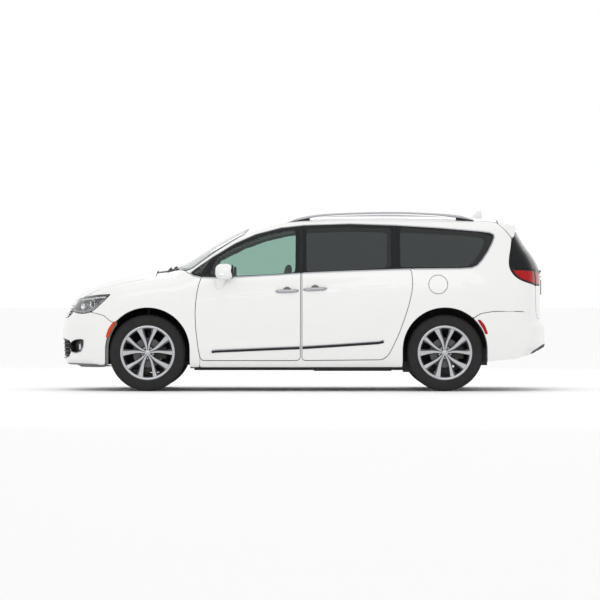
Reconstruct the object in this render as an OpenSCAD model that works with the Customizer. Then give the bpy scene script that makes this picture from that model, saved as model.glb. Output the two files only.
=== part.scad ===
// Family minivan: unit body in separate panels, hinged front doors, bonnet, liftgate and
// fuel flap, two sliding side doors, three rows of seats, steered front wheels.
// X runs along the length with the nose at -X, Y across with the left side at -Y, Z up.
// The origin is on the ground, under the middle of the overall box.

/* [Overall] */
// Distance between the front and rear axles
wheelbase = 3035; // [2950:5:3120]
// Front axle to the middle of the vehicle
front_axle_back = 1597; // [1560:1:1630]
// Half width of the body at its widest
half_width = 1010; // [960:5:1060]
// Height of the roof skin above the ground
roof_height = 1804; // [1760:2:1850]
// Lean of each side window, inwards per unit of height
window_lean = 0.455; // [0.35:0.005:0.5]

/* [Panels] */
// Gap all round a panel that opens
door_gap = 10; // [8:1:14]
// Gap between two fixed panels
panel_gap = 0.4; // [0.3:0.1:0.8]
// Thickness of a whole door below its window
door_depth = 92; // [70:1:100]
// Thickness of a door's window frame
frame_depth = 30; // [22:1:36]
// Thickness of the body sides and pillars
side_depth = 92; // [70:1:100]
// Thickness of the roof with its lining
roof_depth = 42; // [30:1:60]
// Thickness of the bonnet with its inner frame
hood_depth = 34; // [20:1:45]
// Thickness of the front wings
fender_depth = 30; // [20:1:40]
// Thickness of the bumper covers with their foam
bumper_depth = 62; // [40:1:80]
// Thickness of the whole liftgate
gate_depth = 70; // [50:1:80]
// Thickness of each pane of glass
glass_depth = 5; // [4:0.5:7]
// How far the side glass sits inside the outer skin
glass_inset = 5; // [3:0.5:8]

/* [Wheels] */
// Rolling radius of the tyres
tyre_radius = 392; // [370:1:398]
// Width of the tyres
tyre_width = 245; // [225:1:250]
// Radius of the rim's outer flange
rim_radius = 278; // [262:1:285]
// Radius of the seat of the tyre on the rim
bead_radius = 254; // [245:1:257]
// Radius of the inner face of the rim's barrel
barrel_radius = 238; // [230:1:241]
// Distance from the middle of the vehicle to the middle plane of a wheel
half_track = 830; // [815:1:838]
// Radius of the wheel spindles
spindle_radius = 25; // [20:0.5:30]
// Clearance round a spindle, a ball joint or a hinge barrel
pin_clearance = 0.3; // [0.2:0.05:0.5]
// Radius of the brake discs
disc_radius = 155; // [140:1:158]
// Number of spokes in each wheel
spokes = 10; // [6:1:12]
// Radius of the wheel arches
arch_radius = 430; // [424:1:440]
// Height of the centres of the wheel arches
arch_height = 422; // [410:1:430]

/* [Hinges] */
// Radius of the door, bonnet and liftgate hinge barrels
barrel_r = 8; // [6:0.5:10]
// Length of each hinge barrel
barrel_len = 60; // [40:1:80]

/* [Floor] */
// Height of the underside of the floor
floor_bottom = 262; // [255:1:270]
// Thickness of the floor
floor_thick = 38; // [25:1:45]
// Half width of the floor between the sills
floor_half = 880; // [860:1:890]
// Half width of the floor between the rear wheels
floor_half_rear = 668; // [640:1:672]
// Width of each square jacking pad
jack_pad = 70; // [50:1:90]
// Height of the jacking pads under the floor
jack_drop = 14; // [8:1:20]

/* [Licence plate] */
// Distance across between the plate's holes
plate_hole_x = 178; // [170:1:190]
// Distance up between the plate's holes
plate_hole_z = 121; // [110:1:130]
// Radius of the plate's holes
plate_hole_r = 3; // [2:0.5:4]

/* [Seats] */
// Width of one front seat
seat_width = 520; // [460:5:540]
// Distance from the middle to the middle of a front or middle seat
seat_offset = 410; // [380:5:430]

/* [Hidden] */
$fn = 48;

white = "white";
glass_tint = "darkslategray";
wide = 3000;
slide_gap = 5;
lamp_depth = 60;
arm_low = 190;
column_tilt = 65;
cowl_depth = 14;
screen_low = 1100;
nose_x = -2512;
tail_x = 2458;
front_axle = -front_axle_back;
rear_axle = front_axle + wheelbase;
axle_z = tyre_radius;
floor_top = floor_bottom + floor_thick;

// Height of the top of the body along its middle, from the nose over the roof to the spoiler.
TOP = [[-2520, 835], [-2420, 905], [-2319, 994], [-2193, 1060], [-2068, 1109], [-1880, 1161],
    [-1692, 1203], [-1520, 1238], [-1336, 1268], [-877, 1527], [-584, 1673],
    [-438, 1715], [-250, 1756], [0, roof_height - 19], [400, roof_height - 4], [850, roof_height],
    [1300, roof_height - 6], [1880, roof_height - 27], [2216, 1738]];
// How far the top falls at 700 mm from the middle, along the length.
CROWN = [[-2500, 60], [-1500, 62], [-1300, 70], [-500, 50], [0, 38], [2200, 38]];
// Half width of the body along its length.
PLAN = [[-2500, half_width - 200], [-2300, half_width - 105], [-2100, half_width - 52],
    [-1900, half_width - 24], [-1600, half_width - 6], [0, half_width],
    [1200, half_width - 2], [1700, half_width - 14], [2000, half_width - 34],
    [2300, half_width - 80], [2520, half_width - 130]];
// How far the sides draw in, by height: the sill, the waist and the leaning windows.
TUCK = [[240, 45], [300, 22], [400, 8], [520, 0], [850, 0], [1000, 8], [1150, 30],
    [1250, 62], [1900, 62 + 650 * window_lean]];
// Place of the nose and of the tail on the middle line, by height.
NOSE = [[200, -2470], [256, -2486], [341, -2503], [480, nose_x], [565, nose_x], [649, -2507],
    [733, -2486], [1100, -2345]];
TAIL = [[300, tail_x - 18], [398, tail_x - 5], [482, tail_x], [1150, tail_x], [1234, 2447],
    [1318, 2414], [1401, 2362], [1485, 2299], [1568, 2247], [1652, 2206], [1800, 2225]];
// Height of the bottom edge along the length.
SILL = [[-2520, 262], [-2300, 252], [1700, 253], [1836, 288], [2164, 315], [2446, 395]];

// A smooth version of the larger of two distances.
function soft_max(a, b, k) = max(a, b) + pow(max(k - abs(a - b), 0), 2) / (4 * k);
function slope(t, v) = (lookup(v + 25, t) - lookup(v - 25, t)) / 50;
// Height of the top of the body beside its middle.
function top_at(x, y) = lookup(x, TOP) - lookup(x, CROWN) * pow(y / 700, 2);
function nose_bow(y) = 40 * pow(abs(y) / 400, 2.7);
function tail_bow(y) = 15 * pow(abs(y) / 400, 2.9);
function nose_bow_slope(y) = 2.7 * nose_bow(y) / max(abs(y), 1);
function tail_bow_slope(y) = 2.9 * tail_bow(y) / max(abs(y), 1);

// Distance of a point from a form some depth inside the body's skin, under zero inside it.
// The bottom isn't drawn in, so that what lies between two depths is open below.
function skin(x, y, z, depth) =
    let(side = abs(y) - lookup(x, PLAN) + lookup(z, TUCK))
    let(top = (z - top_at(x, y)) / sqrt(1 + pow(slope(TOP, x), 2)))
    let(nose = (lookup(z, NOSE) + nose_bow(y) - x) / sqrt(1 + pow(nose_bow_slope(y), 2)))
    let(tail = (x - lookup(z, TAIL) + tail_bow(y))
        / sqrt(1 + pow(slope(TAIL, z), 2) + pow(tail_bow_slope(y), 2)))
    let(sill = lookup(x, SILL) - z - min(abs(depth), 20) - depth)
    soft_max(soft_max(soft_max(side, top, 110), sill, 20), soft_max(nose, tail, 20), 90) + depth;

// Point where a ray across the section at x meets the skin, some depth inside it.
function reach(x, c, dy, dz, depth, near, far, n) =
    let(mid = (near + far) / 2)
    n == 0 ? [mid * dy, c + mid * dz]
    : skin(x, mid * dy, c + mid * dz, depth) > 0 ? reach(x, c, dy, dz, depth, near, mid, n - 1)
    : reach(x, c, dy, dz, depth, mid, far, n - 1);
function centre_z(x) = lookup(x, [[-2512, 522], [-2300, 640], [-1500, 740], [2150, 900], [2300, 850],
    [2460, 780]]);
function ring(x, depth, step) = concat(
    [for (a = [-90 : step : 90]) reach(x, centre_z(x), cos(a), sin(a), depth, 0, 1500, 12)],
    [for (a = [90 - step : -step : -90 + step])
        reach(x, centre_z(x), -cos(a), sin(a), depth, 0, 1500, 12)]);
STATIONS = [-2511.5, -2507, -2498, -2480, -2450, -2400, -2320, -2200, -2050, -1880, -1692, -1520,
    -1336, -1100, -877, -720, -584, -438, -250, 0, 400, 850, 1300, 1700, 1960, 2130, 2200, 2222,
    2260, 2320, 2380, 2420, 2445, 2457.5];

// Points of one section, in place, to a tenth of a millimetre.
function section(x, depth, step) = [for (p = ring(x, depth, step))
    [round(x * 10) / 10, round(p[0] * 10) / 10, round(p[1] * 10) / 10]];

// The solid inside the skin, less a depth all round, as a chain of hulls between sections.
module body_form(depth) {
    step = depth > 12 ? 11.25 : 7.5;
    shrink = 1 - depth / 2500;
    sections = [for (x = STATIONS) section(x * shrink, depth, step)];
    n = len(sections[0]);
    for (i = [0 : len(STATIONS) - 2]) hull()
        polyhedron(concat(sections[i], sections[i + 1]),
            [[for (k = [0 : n - 1]) k], [for (k = [2 * n - 1 : -1 : n]) k]]);
}

// The skin between two depths.
module shell(outer, inner) {
    difference() {
        body_form(outer);
        body_form(inner);
    }
}

// An outline drawn in side view, carried across one side (-1 left, 1 right) or both (0).
module side_prism(points, side = 0, grow = 0, inner = 0) {
    for (s = side == 0 ? [-1, 1] : [side])
        translate([0, s > 0 ? wide : -inner, 0]) rotate([90, 0, 0])
            linear_extrude(wide - inner) offset(delta = grow) polygon(points);
}

// An outline drawn in plan, carried up.
module plan_prism(points, grow = 0, low = 0, high = 2200) {
    translate([0, 0, low]) linear_extrude(high - low) offset(delta = grow) polygon(points);
}

// An outline drawn from the front or back for the right half, carried along and mirrored.
module end_prism(points, x0, x1, grow = 0) {
    for (m = [0, 1]) mirror([0, m, 0]) translate([x0, 0, 0]) rotate([90, 0, 90])
        linear_extrude(x1 - x0) offset(delta = grow) polygon(points);
}

// A box from its two corners.
module block(a, b) {
    translate(a) cube(b - a);
}

// The same shape on both sides.
module both_sides() {
    children();
    mirror([0, 1, 0]) children();
}

// Side view outlines of the openings, panels and windows.
FRONT_DOOR = [[-1046, 1163], [-1072, 1095], [-1094, 995], [-1106, 885], [-1110, 790], [-1104, 640],
    [-1082, 450], [-1058, 330], [-1040, 312], [-50, 312], [-38, 326], [-33, 1691], [-356, 1633],
    [-617, 1541], [-905, 1396]];
SLIDING_DOOR = [[-21, 326], [-12, 312], [800, 320], [862, 366], [921, 482], [973, 598],
    [1025, 741], [1071, 884], [1100, 1015], [1109, 1105], [1096, 1240], [930, 1244], [930, 1692],
    [471, 1707], [-21, 1692]];
DOOR_WINDOW = [[-1000, 1196], [-718, 1172], [-80, 1212], [-76, 1655], [-356, 1600], [-617, 1505],
    [-885, 1370]];
SLIDING_WINDOW = [[28, 1222], [885, 1266], [885, 1662], [471, 1672], [28, 1662]];
QUARTER_WINDOW = [[985, 1280], [1676, 1290], [1753, 1306], [1799, 1336], [1863, 1425],
    [1912, 1520], [1915, 1583], [1599, 1624], [985, 1660]];
SAIL_WINDOW = [[-1128, 1206], [-1056, 1194], [-944, 1366]];
HEADLAMP = [[-2311, 957], [-1972, 985], [-2178, 813], [-2261, 788], [-2399, 818]];
FOG_LAMP = [[-2420, 390], [-2420, 520], [-2263, 520], [-2275, 390]];
BUMPER_EDGE = [[-2178, 813], [-2045, 775], [-1950, 690], [-1950, 0], [-2600, 0], [-2600, 1060],
    [-2399, 1060], [-2399, 818], [-2261, 788]];
FRONT_END = [[-2700, 0], [-2700, 1400], [-1520, 1400], [-1336, 1262], [-1190, 1215], [-1046, 1163],
    [-1072, 1095], [-1094, 995], [-1106, 885], [-1110, 790], [-1104, 640], [-1082, 450],
    [-1058, 330], [-1058, 0]];
GATE_EDGE = [[1985, 1900], [1990, 1714], [2130, 1566], [2118, 1472], [2094, 1329], [2097, 1263],
    [2143, 1184], [2235, 1126], [2240, 820], [2350, 742], [2700, 742], [2700, 1900]];
REAR_BUMPER = [[1763, 800], [1926, 815], [2240, 812], [2335, 724], [2700, 724], [2700, 0], [1763, 0]];
TAIL_LAMP = [[2163, 1244], [2366, 1269], [2520, 1290], [2520, 1060], [2372, 1087], [2235, 1146]];
FUEL_DOOR = [[1268, 1025], [1280, 1010], [1452, 1010], [1464, 1025], [1464, 1155], [1452, 1170],
    [1280, 1170], [1268, 1155]];

// Plan outlines.
HOOD = [[-1524, -742], [-1800, -728], [-2100, -690], [-2210, -650], [-2280, -560], [-2346, -400],
    [-2384, -200], [-2390, 0], [-2384, 200], [-2346, 400], [-2280, 560], [-2210, 650], [-2100, 690],
    [-1800, 728], [-1524, 742], [-1518, 0]];
SCREEN = [[-1326, 0], [-1300, 400], [-1215, 760], [-1150, 860], [-610, 712], [-580, 500], [-566, 0],
    [-580, -500], [-610, -712], [-1150, -860], [-1215, -760], [-1300, -400]];

// Front and rear view outlines of the right half.
UPPER_GRILLE = [[0, 742], [420, 752], [520, 800], [500, 876], [0, 872]];
LOWER_GRILLE = [[0, 330], [520, 350], [600, 420], [560, 520], [0, 540]];
GATE = [[0, 742], [640, 742], [700, 800], [724, 1000], [724, 1300], [700, 1500], [676, 1562],
    [690, 1640], [700, 1900], [0, 1900]];
GATE_WINDOW = [[0, 1215], [560, 1225], [610, 1262], [600, 1560], [560, 1622], [0, 1630]];
GATE_LAMP = [[470, 1090], [690, 1105], [690, 1206], [470, 1180]];

door_axis_x = -1110;
door_axis_y = half_width - 4;
hinge_heights = [470, 960];

// Room for a wheel under its arch, across from the inner wall outwards.
module arch_room(x, inner, r) {
    for (s = [-1, 1]) translate([x, s > 0 ? wide : -inner, 0]) {
        translate([0, 0, arch_height]) rotate([90, 0, 0]) cylinder(r = r, h = wide - inner, $fn = 96);
        translate([-r, -(wide - inner), -10]) cube([2 * r, wide - inner, arch_height + 10]);
    }
}

module both_arches(inner, r) {
    arch_room(front_axle, inner, r);
    arch_room(rear_axle, inner, r);
}

// One pane, or a row of panes, inside the skin.
module pane(side, points) {
    intersection() {
        shell(glass_inset, glass_inset + glass_depth);
        side_prism(points, side, -pin_clearance, 500);
    }
}

// Half ring of hinge barrels for one front door, solid or as the room that they need.
module door_barrels(side, room = 0) {
    for (z = hinge_heights) translate([door_axis_x, side * door_axis_y, z - room - barrel_len / 2])
        cylinder(r = barrel_r + room, h = barrel_len + 2 * room, $fn = 32);
}

// Leaf that carries the barrels of one front door on its pillar.
module door_leaves(side) {
    near = side * (door_axis_y + barrel_r / 2);
    far = side * (half_width - side_depth);
    for (z = hinge_heights) translate([door_axis_x - 36, min(near, far), z - barrel_len / 2])
        cube([36 - 1, abs(near - far), barrel_len]);
}

// What lies between the skin and a depth, in the outline of one side's panel.
module side_slab(points, side, depth, grow = 0, inner = 300) {
    intersection() {
        side_prism(points, side, grow, inner);
        difference() {
            body_form(-5);
            body_form(depth);
        }
    }
}

module body_side(side) {
    difference() {
        intersection() {
            union() {
                shell(0, side_depth);
                intersection() {
                    shell(side_depth - 10, door_depth + 52);
                    translate([-110, -wide, 0]) cube([170, 2 * wide, 2200]);
                }
            }
            translate([-1240, side > 0 ? 0 : -wide, 0]) cube([4000, wide, 2200]);
        }
        side_slab(FRONT_END, side, fender_depth + panel_gap, panel_gap, 0);
        side_slab(FRONT_DOOR, side, door_depth + 8, door_gap);
        side_slab(SLIDING_DOOR, side, door_depth + 8, slide_gap);
        side_prism(QUARTER_WINDOW, side, 0, 300);
        side_prism(SAIL_WINDOW, side, 0, 300);
        side_prism(REAR_BUMPER, 0, panel_gap);
        side_slab(TAIL_LAMP, side, lamp_depth + panel_gap, panel_gap, 0);
        intersection() {
            side_prism(GATE_EDGE, 0);
            union() {
                end_prism(GATE, 1900, 2700, door_gap);
                end_prism([[0, 1450], [720, 1450], [716, 1570], [0, 1570]], 1900, 2700);
                side_prism([[1970, 1560], [1970, 1900], [2700, 1900], [2700, 1562], [2130, 1562]]);
            }
        }
        plan_prism(SCREEN, panel_gap, screen_low);
        translate([-580, -640 - panel_gap, 1500]) cube([2590, 2 * (640 + panel_gap), 600]);
        translate([-1700, -floor_half - 15.3, 0])
            cube([4500, 2 * (floor_half + 15.3), floor_top + panel_gap]);
        if (side < 0) side_prism(FUEL_DOOR, side, 8, half_width - 60);
        arch_room(rear_axle, 500, arch_radius);
        arch_room(front_axle, 500, arch_radius + 20 + panel_gap);
        for (z = hinge_heights) translate([door_axis_x - 0.5, -wide, z - barrel_len / 2 - 6])
            cube([70, 2 * wide, barrel_len + 12]);
    }
    door_leaves(side);
    door_barrels(side);
}
color(white) body_side(-1);  // body_side_left
color(white) body_side(1);  // body_side_right

module roof_panel() {
    intersection() {
        shell(0, roof_depth);
        translate([-580, -640, 1400]) cube([2590, 1280, 600]);
        difference() {
            translate([-600, -640, 1400]) cube([2700, 1280, 600]);
            plan_prism(SCREEN, panel_gap, screen_low);
            side_prism(GATE_EDGE, 0, door_gap);
        }
    }
}
color(white) roof_panel();

module front_fenders() {
    difference() {
        intersection() {
            shell(0, fender_depth);
            side_prism(FRONT_END, 0);
        }
        side_prism(FRONT_DOOR, 0, door_gap);
        side_prism(BUMPER_EDGE, 0, panel_gap);
        side_prism(HEADLAMP, 0, panel_gap);
        plan_prism(HOOD, door_gap, 700);
        plan_prism(SCREEN, panel_gap, screen_low);
        translate([-1526, -846, 900]) cube([600, 1692, 400]);
        for (z = hinge_heights) translate([door_axis_x - 42, -wide, z - barrel_len / 2 - 6])
            cube([80, 2 * wide, barrel_len + 12]);
        block([-1160, -floor_half - panel_gap, 0], [-1000, floor_half + panel_gap, floor_top + 10]);
        translate([-2600, -380, 0]) cube([1000, 760, 1400]);
        end_prism(UPPER_GRILLE, -2700, -2200, panel_gap);
        both_arches(400, arch_radius);
    }
}
color(white) front_fenders();

module front_bumper() {
    difference() {
        intersection() {
            shell(0, bumper_depth);
            side_prism(BUMPER_EDGE, 0);
        }
        difference() {
            side_prism(HEADLAMP, 0, panel_gap);
            translate([-2600, -430, 0]) cube([900, 860, 1400]);
        }
        side_prism(FOG_LAMP, 0, panel_gap, 640);
        end_prism(UPPER_GRILLE, -2700, -2200, panel_gap);
        end_prism(LOWER_GRILLE, -2700, -2200, panel_gap);
        plan_prism(HOOD, door_gap, 700);
        both_arches(400, arch_radius);
        intersection() {
            both_arches(400, arch_radius + 20 + panel_gap);
            body_form(fender_depth);
        }
    }
}
color(white) front_bumper();

module grille() {
    intersection() {
        shell(8, 40);
        union() {
            end_prism(UPPER_GRILLE, -2700, -2200);
            end_prism(LOWER_GRILLE, -2700, -2200);
        }
        difference() {
            translate([-2700, -1000, 200]) cube([500, 2000, 800]);
            plan_prism(HOOD, door_gap, 700);
        }
    }
}
color("dimgray") grille();

module headlamps() {
    difference() {
        intersection() {
            shell(0, 90);
            side_prism(HEADLAMP, 0, 0, 430);
        }
        end_prism(UPPER_GRILLE, -2700, -2200, panel_gap);
        plan_prism(HOOD, door_gap, 700);
    }
}
color("gainsboro") headlamps();

module fog_lamps() {
    intersection() {
        shell(10, 60);
        side_prism(FOG_LAMP, 0, 0, 640 + panel_gap);
    }
}
color("gray") fog_lamps();

module windshield() {
    intersection() {
        shell(2, 2 + glass_depth + 1);
        plan_prism(SCREEN, 0, screen_low);
    }
}
color(glass_tint) windshield();

// Sunk panel at the foot of the windshield, with a lip under the bonnet's rear edge.
module cowl_panel() {
    difference() {
        intersection() {
            shell(cowl_depth, 40);
            translate([-1508, -842, 1000]) cube([1508 - 1240 - panel_gap, 1684, 400]);
        }
        plan_prism(SCREEN, panel_gap, screen_low);
    }
    intersection() {
        shell(hood_depth + pin_clearance, 60);
        translate([-1580, -720, 1000]) cube([80, 1440, 400]);
    }
}
color("black") cowl_panel();

// Two arms that lie along the foot of the windshield, on their spindles.
module windscreen_wipers() {
    for (y = [-520, 160]) {
        base = top_at(-1400, y) - cowl_depth + 3.3;
        translate([-1400, y, base]) cylinder(r = 12, h = 26);
        hull() {
            translate([-1400, y, base + 20]) sphere(9, $fn = 12);
            translate([-1350, y + 330, top_at(-1350, y + 330) + 10]) sphere(6, $fn = 12);
        }
    }
}
color("black") windscreen_wipers();

module sliding_door(side) {
    difference() {
        intersection() {
            union() {
                shell(0, frame_depth);
                intersection() {
                    shell(0, door_depth);
                    translate([-2000, -wide, 0]) cube([4000, 2 * wide, 1215]);
                }
            }
            side_prism(SLIDING_DOOR, side, 0, 300);
        }
        side_prism(SLIDING_WINDOW, side, 0, 300);
    }
    // Roller that carries the door on its lower rail.
    translate([20, side * (half_width - 65) - 15, 308.2]) cube([60, 30, 8]);
}
color(white) sliding_door(-1);  // sliding_door_left
color(white) sliding_door(1);  // sliding_door_right

color(glass_tint) pane(0, SLIDING_WINDOW);  // sliding_door_glass
module side_glass() {
    pane(0, QUARTER_WINDOW);
    pane(0, SAIL_WINDOW);
}
color(glass_tint) side_glass();

module tail_lamps() {
    difference() {
        intersection() {
            shell(0, lamp_depth);
            side_prism(TAIL_LAMP, 0);
        }
        end_prism(GATE, 1900, 2700, door_gap);
    }
}
color("darkred") tail_lamps();

// Bumper cover, with a step that stands out below the liftgate.
module rear_bumper() {
    difference() {
        union() {
            intersection() {
                shell(0, bumper_depth + 18);
                side_prism(REAR_BUMPER, 0);
            }
            intersection() {
                translate([50, 0, 0]) body_form(0);
                translate([2300, -1000, 430]) cube([400, 2000, 225]);
                body_form(-60);
            }
        }
        body_form(bumper_depth + 18);
        both_arches(400, arch_radius);
        block([1800, -840, 200], [2250, 840, 330]);
    }
}
color(white) rear_bumper();

// Arched bars along the roof, each on two feet.
module roof_rails() {
    both_sides() translate([0, 668, 0]) rotate([90, 0, 0]) linear_extrude(32) polygon([
        [-174, 1728], [-60, 1772], [168, 1811], [500, 1829], [900, 1837], [1300, 1824], [1600, 1798],
        [1745, 1756], [1735, 1738], [1560, 1745], [1500, 1786], [1300, 1803], [900, 1816],
        [500, 1808], [168, 1788], [60, 1762], [20, 1738]]);
}
color("silver") difference() {
    roof_rails();
    body_form(-panel_gap);
}

module roof_antenna() {
    difference() {
        hull() {
            translate([1700, -12, 1770]) cube([165, 24, 10]);
            translate([1820, -4, 1770]) cube([38, 8, 91]);
        }
        body_form(-panel_gap);
    }
}
color(white) roof_antenna();

// Dashboard with its centre stack and the steering column.
module dashboard() {
    difference() {
        translate([0, 740, 0]) rotate([90, 0, 0]) linear_extrude(1480) polygon([[-1210, 760],
            [-1210, 1110], [-1140, 1150], [-980, 1140], [-900, 1060], [-900, 960], [-1000, 760]]);
        translate([-1010, -700, 700]) cube([200, 560, 130]);
    }
    translate([-1094, -140, floor_top]) cube([274, 280, 461]);
    translate([-905, -400, 985]) rotate([0, column_tilt, 0]) cylinder(r = 30, h = 81);
}
color("dimgray") dashboard();

// Cushion, back and head restraint of a seat, over its base.
module seat(x, y, width, base) {
    translate([x, y + width / 2, floor_top + base]) rotate([90, 0, 0]) linear_extrude(width) polygon([
        [-260, 60], [-280, 130], [-250, 175], [180, 140], [330, 640], [420, 650], [300, 30]]);
    translate([x, y + 140, floor_top + base]) rotate([90, 0, 0]) linear_extrude(280) polygon([
        [345, 650], [362, 830], [400, 850], [440, 830], [415, 650]]);
    translate([x - 180, y - width / 2 + 60, floor_top]) cube([420, width - 120, base + 60]);
}
module front_seats() {
    for (y = [-seat_offset, seat_offset]) seat(-560, y, seat_width, 160);
}
color("dimgray") front_seats();
module middle_seats() {
    for (y = [-seat_offset, seat_offset]) seat(480, y, seat_width, 160);
}
color("dimgray") middle_seats();
color("dimgray") seat(1480, 0, 1220, 180);  // rear_bench

module engine() {
    block([-2040, -420, 420], [-1420, 420, 940]);
}
color("gray") engine();

// Floor with its sill rails, the bay rails, the bulkhead and the jacking pads.
module underbody() {
    difference() {
        union() {
            block([-1140, -floor_half, floor_bottom], [1000, floor_half, floor_top]);
            block([-1240, -480, floor_bottom], [-1140, 480, floor_top]);
            block([1000, -floor_half_rear, floor_bottom], [1880, floor_half_rear, floor_top]);
            block([1880, -floor_half_rear - 60, 420], [2268, floor_half_rear + 60, 450]);
            block([1840, -floor_half_rear, floor_bottom], [1881, floor_half_rear, 450]);
        }
        arch_room(rear_axle, floor_half_rear + 1, arch_radius + 20 + panel_gap);
    }
    block([-1130, -840, floor_top - 1], [-1095, 840, 700]);
    for (s = [-1, 1]) {
        block([-2300, s * 440 - 40, 380], [-1240, s * 440 + 40, 420]);
        block([-1280, s * 440 - 40, floor_bottom], [-1240, s * 440 + 40, 420]);
    }
    block([-2340, -480, 380], [-2300, 480, 470]);
    for (x = [-1000, 850], s = [-1, 1])
        translate([x - jack_pad / 2, s * (floor_half - 60) - jack_pad / 2, floor_bottom - jack_drop])
            cube([jack_pad, jack_pad, jack_drop + 1]);
}
color("dimgray") underbody();

// Subframe, lower arms with their ball joints and the struts, for both front wheels.
module front_suspension() {
    block([front_axle - 260, -420, 300], [front_axle + 260, 420, 340]);
    for (s = [-1, 1]) {
        block([front_axle - 240, s * 440 - 30, 340], [front_axle - 180, s * 440 + 30, 380]);
        block([front_axle + 180, s * 440 - 30, 340], [front_axle + 240, s * 440 + 30, 380]);
        block([front_axle - 240, s * 400 - 70, 300], [front_axle + 240, s * 400 + 70, 340]);
        translate([0, 0, arm_low]) linear_extrude(22) polygon([[front_axle - 200, s * 420],
            [front_axle + 200, s * 420], [front_axle + 18, s * 620], [front_axle + 18, s * 846],
            [front_axle - 18, s * 846], [front_axle - 18, s * 620]]);
        block([front_axle - 200, s * 400 - 40, arm_low], [front_axle + 200, s * 400 + 40, 301]);
        translate([front_axle, s * half_track, arm_low + 10]) cylinder(r = 12, h = 30);
        translate([front_axle, s * 600, 340]) cylinder(r = 28, h = 520);
        block([front_axle - 30, s * 500 - 115, 300], [front_axle + 30, s * 500 + 115, 341]);
    }
}
color("gray") front_suspension();

// Cross beam with trailing arms, spindles, dampers and calipers for the rear wheels.
module rear_suspension() {
    block([rear_axle - 60, -640, 180], [rear_axle + 60, 640, 250]);
    for (s = [-1, 1]) {
        block([rear_axle - 420, s * 600 - 30, 190], [rear_axle + 60, s * 600 + 30, 250]);
        block([rear_axle - 420, s * 600 - 30, 250], [rear_axle - 370, s * 600 + 30, floor_bottom]);
        block([rear_axle - 50, s * 665 - 95, 180], [rear_axle + 50, s * 665 + 95, 242]);
        block([rear_axle - 50, s * 760 - 14, 180], [rear_axle + 50, s * 760 + 14, 470]);
        translate([rear_axle, s * 750, axle_z]) rotate([-90 * s, 0, 0])
            cylinder(r = spindle_radius, h = 165);
        caliper(rear_axle, s);
    }
}

// Brake caliper behind a wheel, around the rim of its disc.
module caliper(x, s) {
    difference() {
        translate([x + 60, s * (half_track - 35) - 40, axle_z - 60]) cube([130, 80, 120]);
        translate([x, s * (half_track - 19) + 17, axle_z]) rotate([90, 0, 0])
            cylinder(r = disc_radius + 6, h = 34);
        translate([x, s * (half_track + 20) + 60, axle_z]) rotate([90, 0, 0]) cylinder(r = 84, h = 120);
    }
    block([x + 40, s * 765 - 9, axle_z - 60], [x + 190, s * 765 + 9, axle_z + 60]);
}
color("gray") rear_suspension();

color("dimgray") {  // fuel_tank
    block([100, -560, 200], [900, 60, floor_bottom]);
}

// Silencer across the tail, with its pipe forward and its tail pipe.
module exhaust() {
    block([1900, -500, 335], [2200, 300, 419.7]);
    translate([-1150, 180, 225]) rotate([0, 90, 0]) cylinder(r = 30, h = 2200);
    block([-1190, 120, 215], [-1150, 240, floor_bottom]);
    block([1040, 150, 195], [1080, 210, floor_bottom]);
}
color("silver") exhaust();

// Half tubes inside both arches of an axle, up to a depth inside the skin.
module wheel_liners(x, inner, depth) {
    difference() {
        intersection() {
            arch_room(x, inner, arch_radius + 20);
            body_form(depth);
        }
        arch_room(x, 300, arch_radius + 14);
        block([x - 500, -1100, -100], [x + 500, 1100, arch_height - 20]);
    }
}
color("black") {
    wheel_liners(front_axle, 545, fender_depth + panel_gap);
    wheel_liners(rear_axle, 690, side_depth + panel_gap);
}

module front_door(side) {
    difference() {
        for (z = hinge_heights) translate([door_axis_x, side * (door_axis_y - 25) - 25, z - barrel_len / 2])
            cube([50, 50, barrel_len]);
        door_barrels(side, pin_clearance);
    }
    difference() {
        intersection() {
            union() {
                shell(0, frame_depth);
                intersection() {
                    shell(0, door_depth);
                    translate([-2000, -wide, 0]) cube([4000, 2 * wide, 1175]);
                }
            }
            side_prism(FRONT_DOOR, side, 0, 300);
        }
        side_prism(DOOR_WINDOW, side, 0, 300);
        door_barrels(side, pin_clearance);
    }
}
color(white) front_door(-1);  // front_door_left
color(white) front_door(1);  // front_door_right
color("cadetblue") pane(-1, DOOR_WINDOW);  // door_glass_left
color("cadetblue") pane(1, DOOR_WINDOW);  // door_glass_right

// Mirror housing on its foot, which sits on the door below the window.
module door_mirror(side) {
    hull() for (z = [1165, 1295], x = [-885, -735])
        translate([x, side * (half_width + 30), z]) sphere(22, $fn = 20);
    hull() {
        translate([-885, side * (half_width + 110), 1200]) sphere(24, $fn = 20);
        translate([-850, side * (half_width + 100), 1270]) sphere(24, $fn = 20);
        translate([-735, side * (half_width + 112), 1170]) sphere(18, $fn = 20);
        translate([-735, side * (half_width + 112), 1290]) sphere(18, $fn = 20);
        for (z = [1165, 1295]) translate([-735, side * (half_width + 30), z]) sphere(22, $fn = 20);
        translate([-885, side * (half_width + 30), 1180]) sphere(22, $fn = 20);
    }
    difference() {
        hull() {
            translate([-850, side * (half_width - 20), 1060]) cube([90, 30, 60], center = true);
            translate([-820, side * (half_width + 50), 1160]) cube([90, 30, 20], center = true);
        }
        body_form(-panel_gap);
    }
}
color(white) door_mirror(-1);  // door_mirror_left
color(white) door_mirror(1);  // door_mirror_right

module hood() {
    intersection() {
        shell(0, hood_depth);
        plan_prism(HOOD, 0, 700);
    }
}
color(white) hood();

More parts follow.
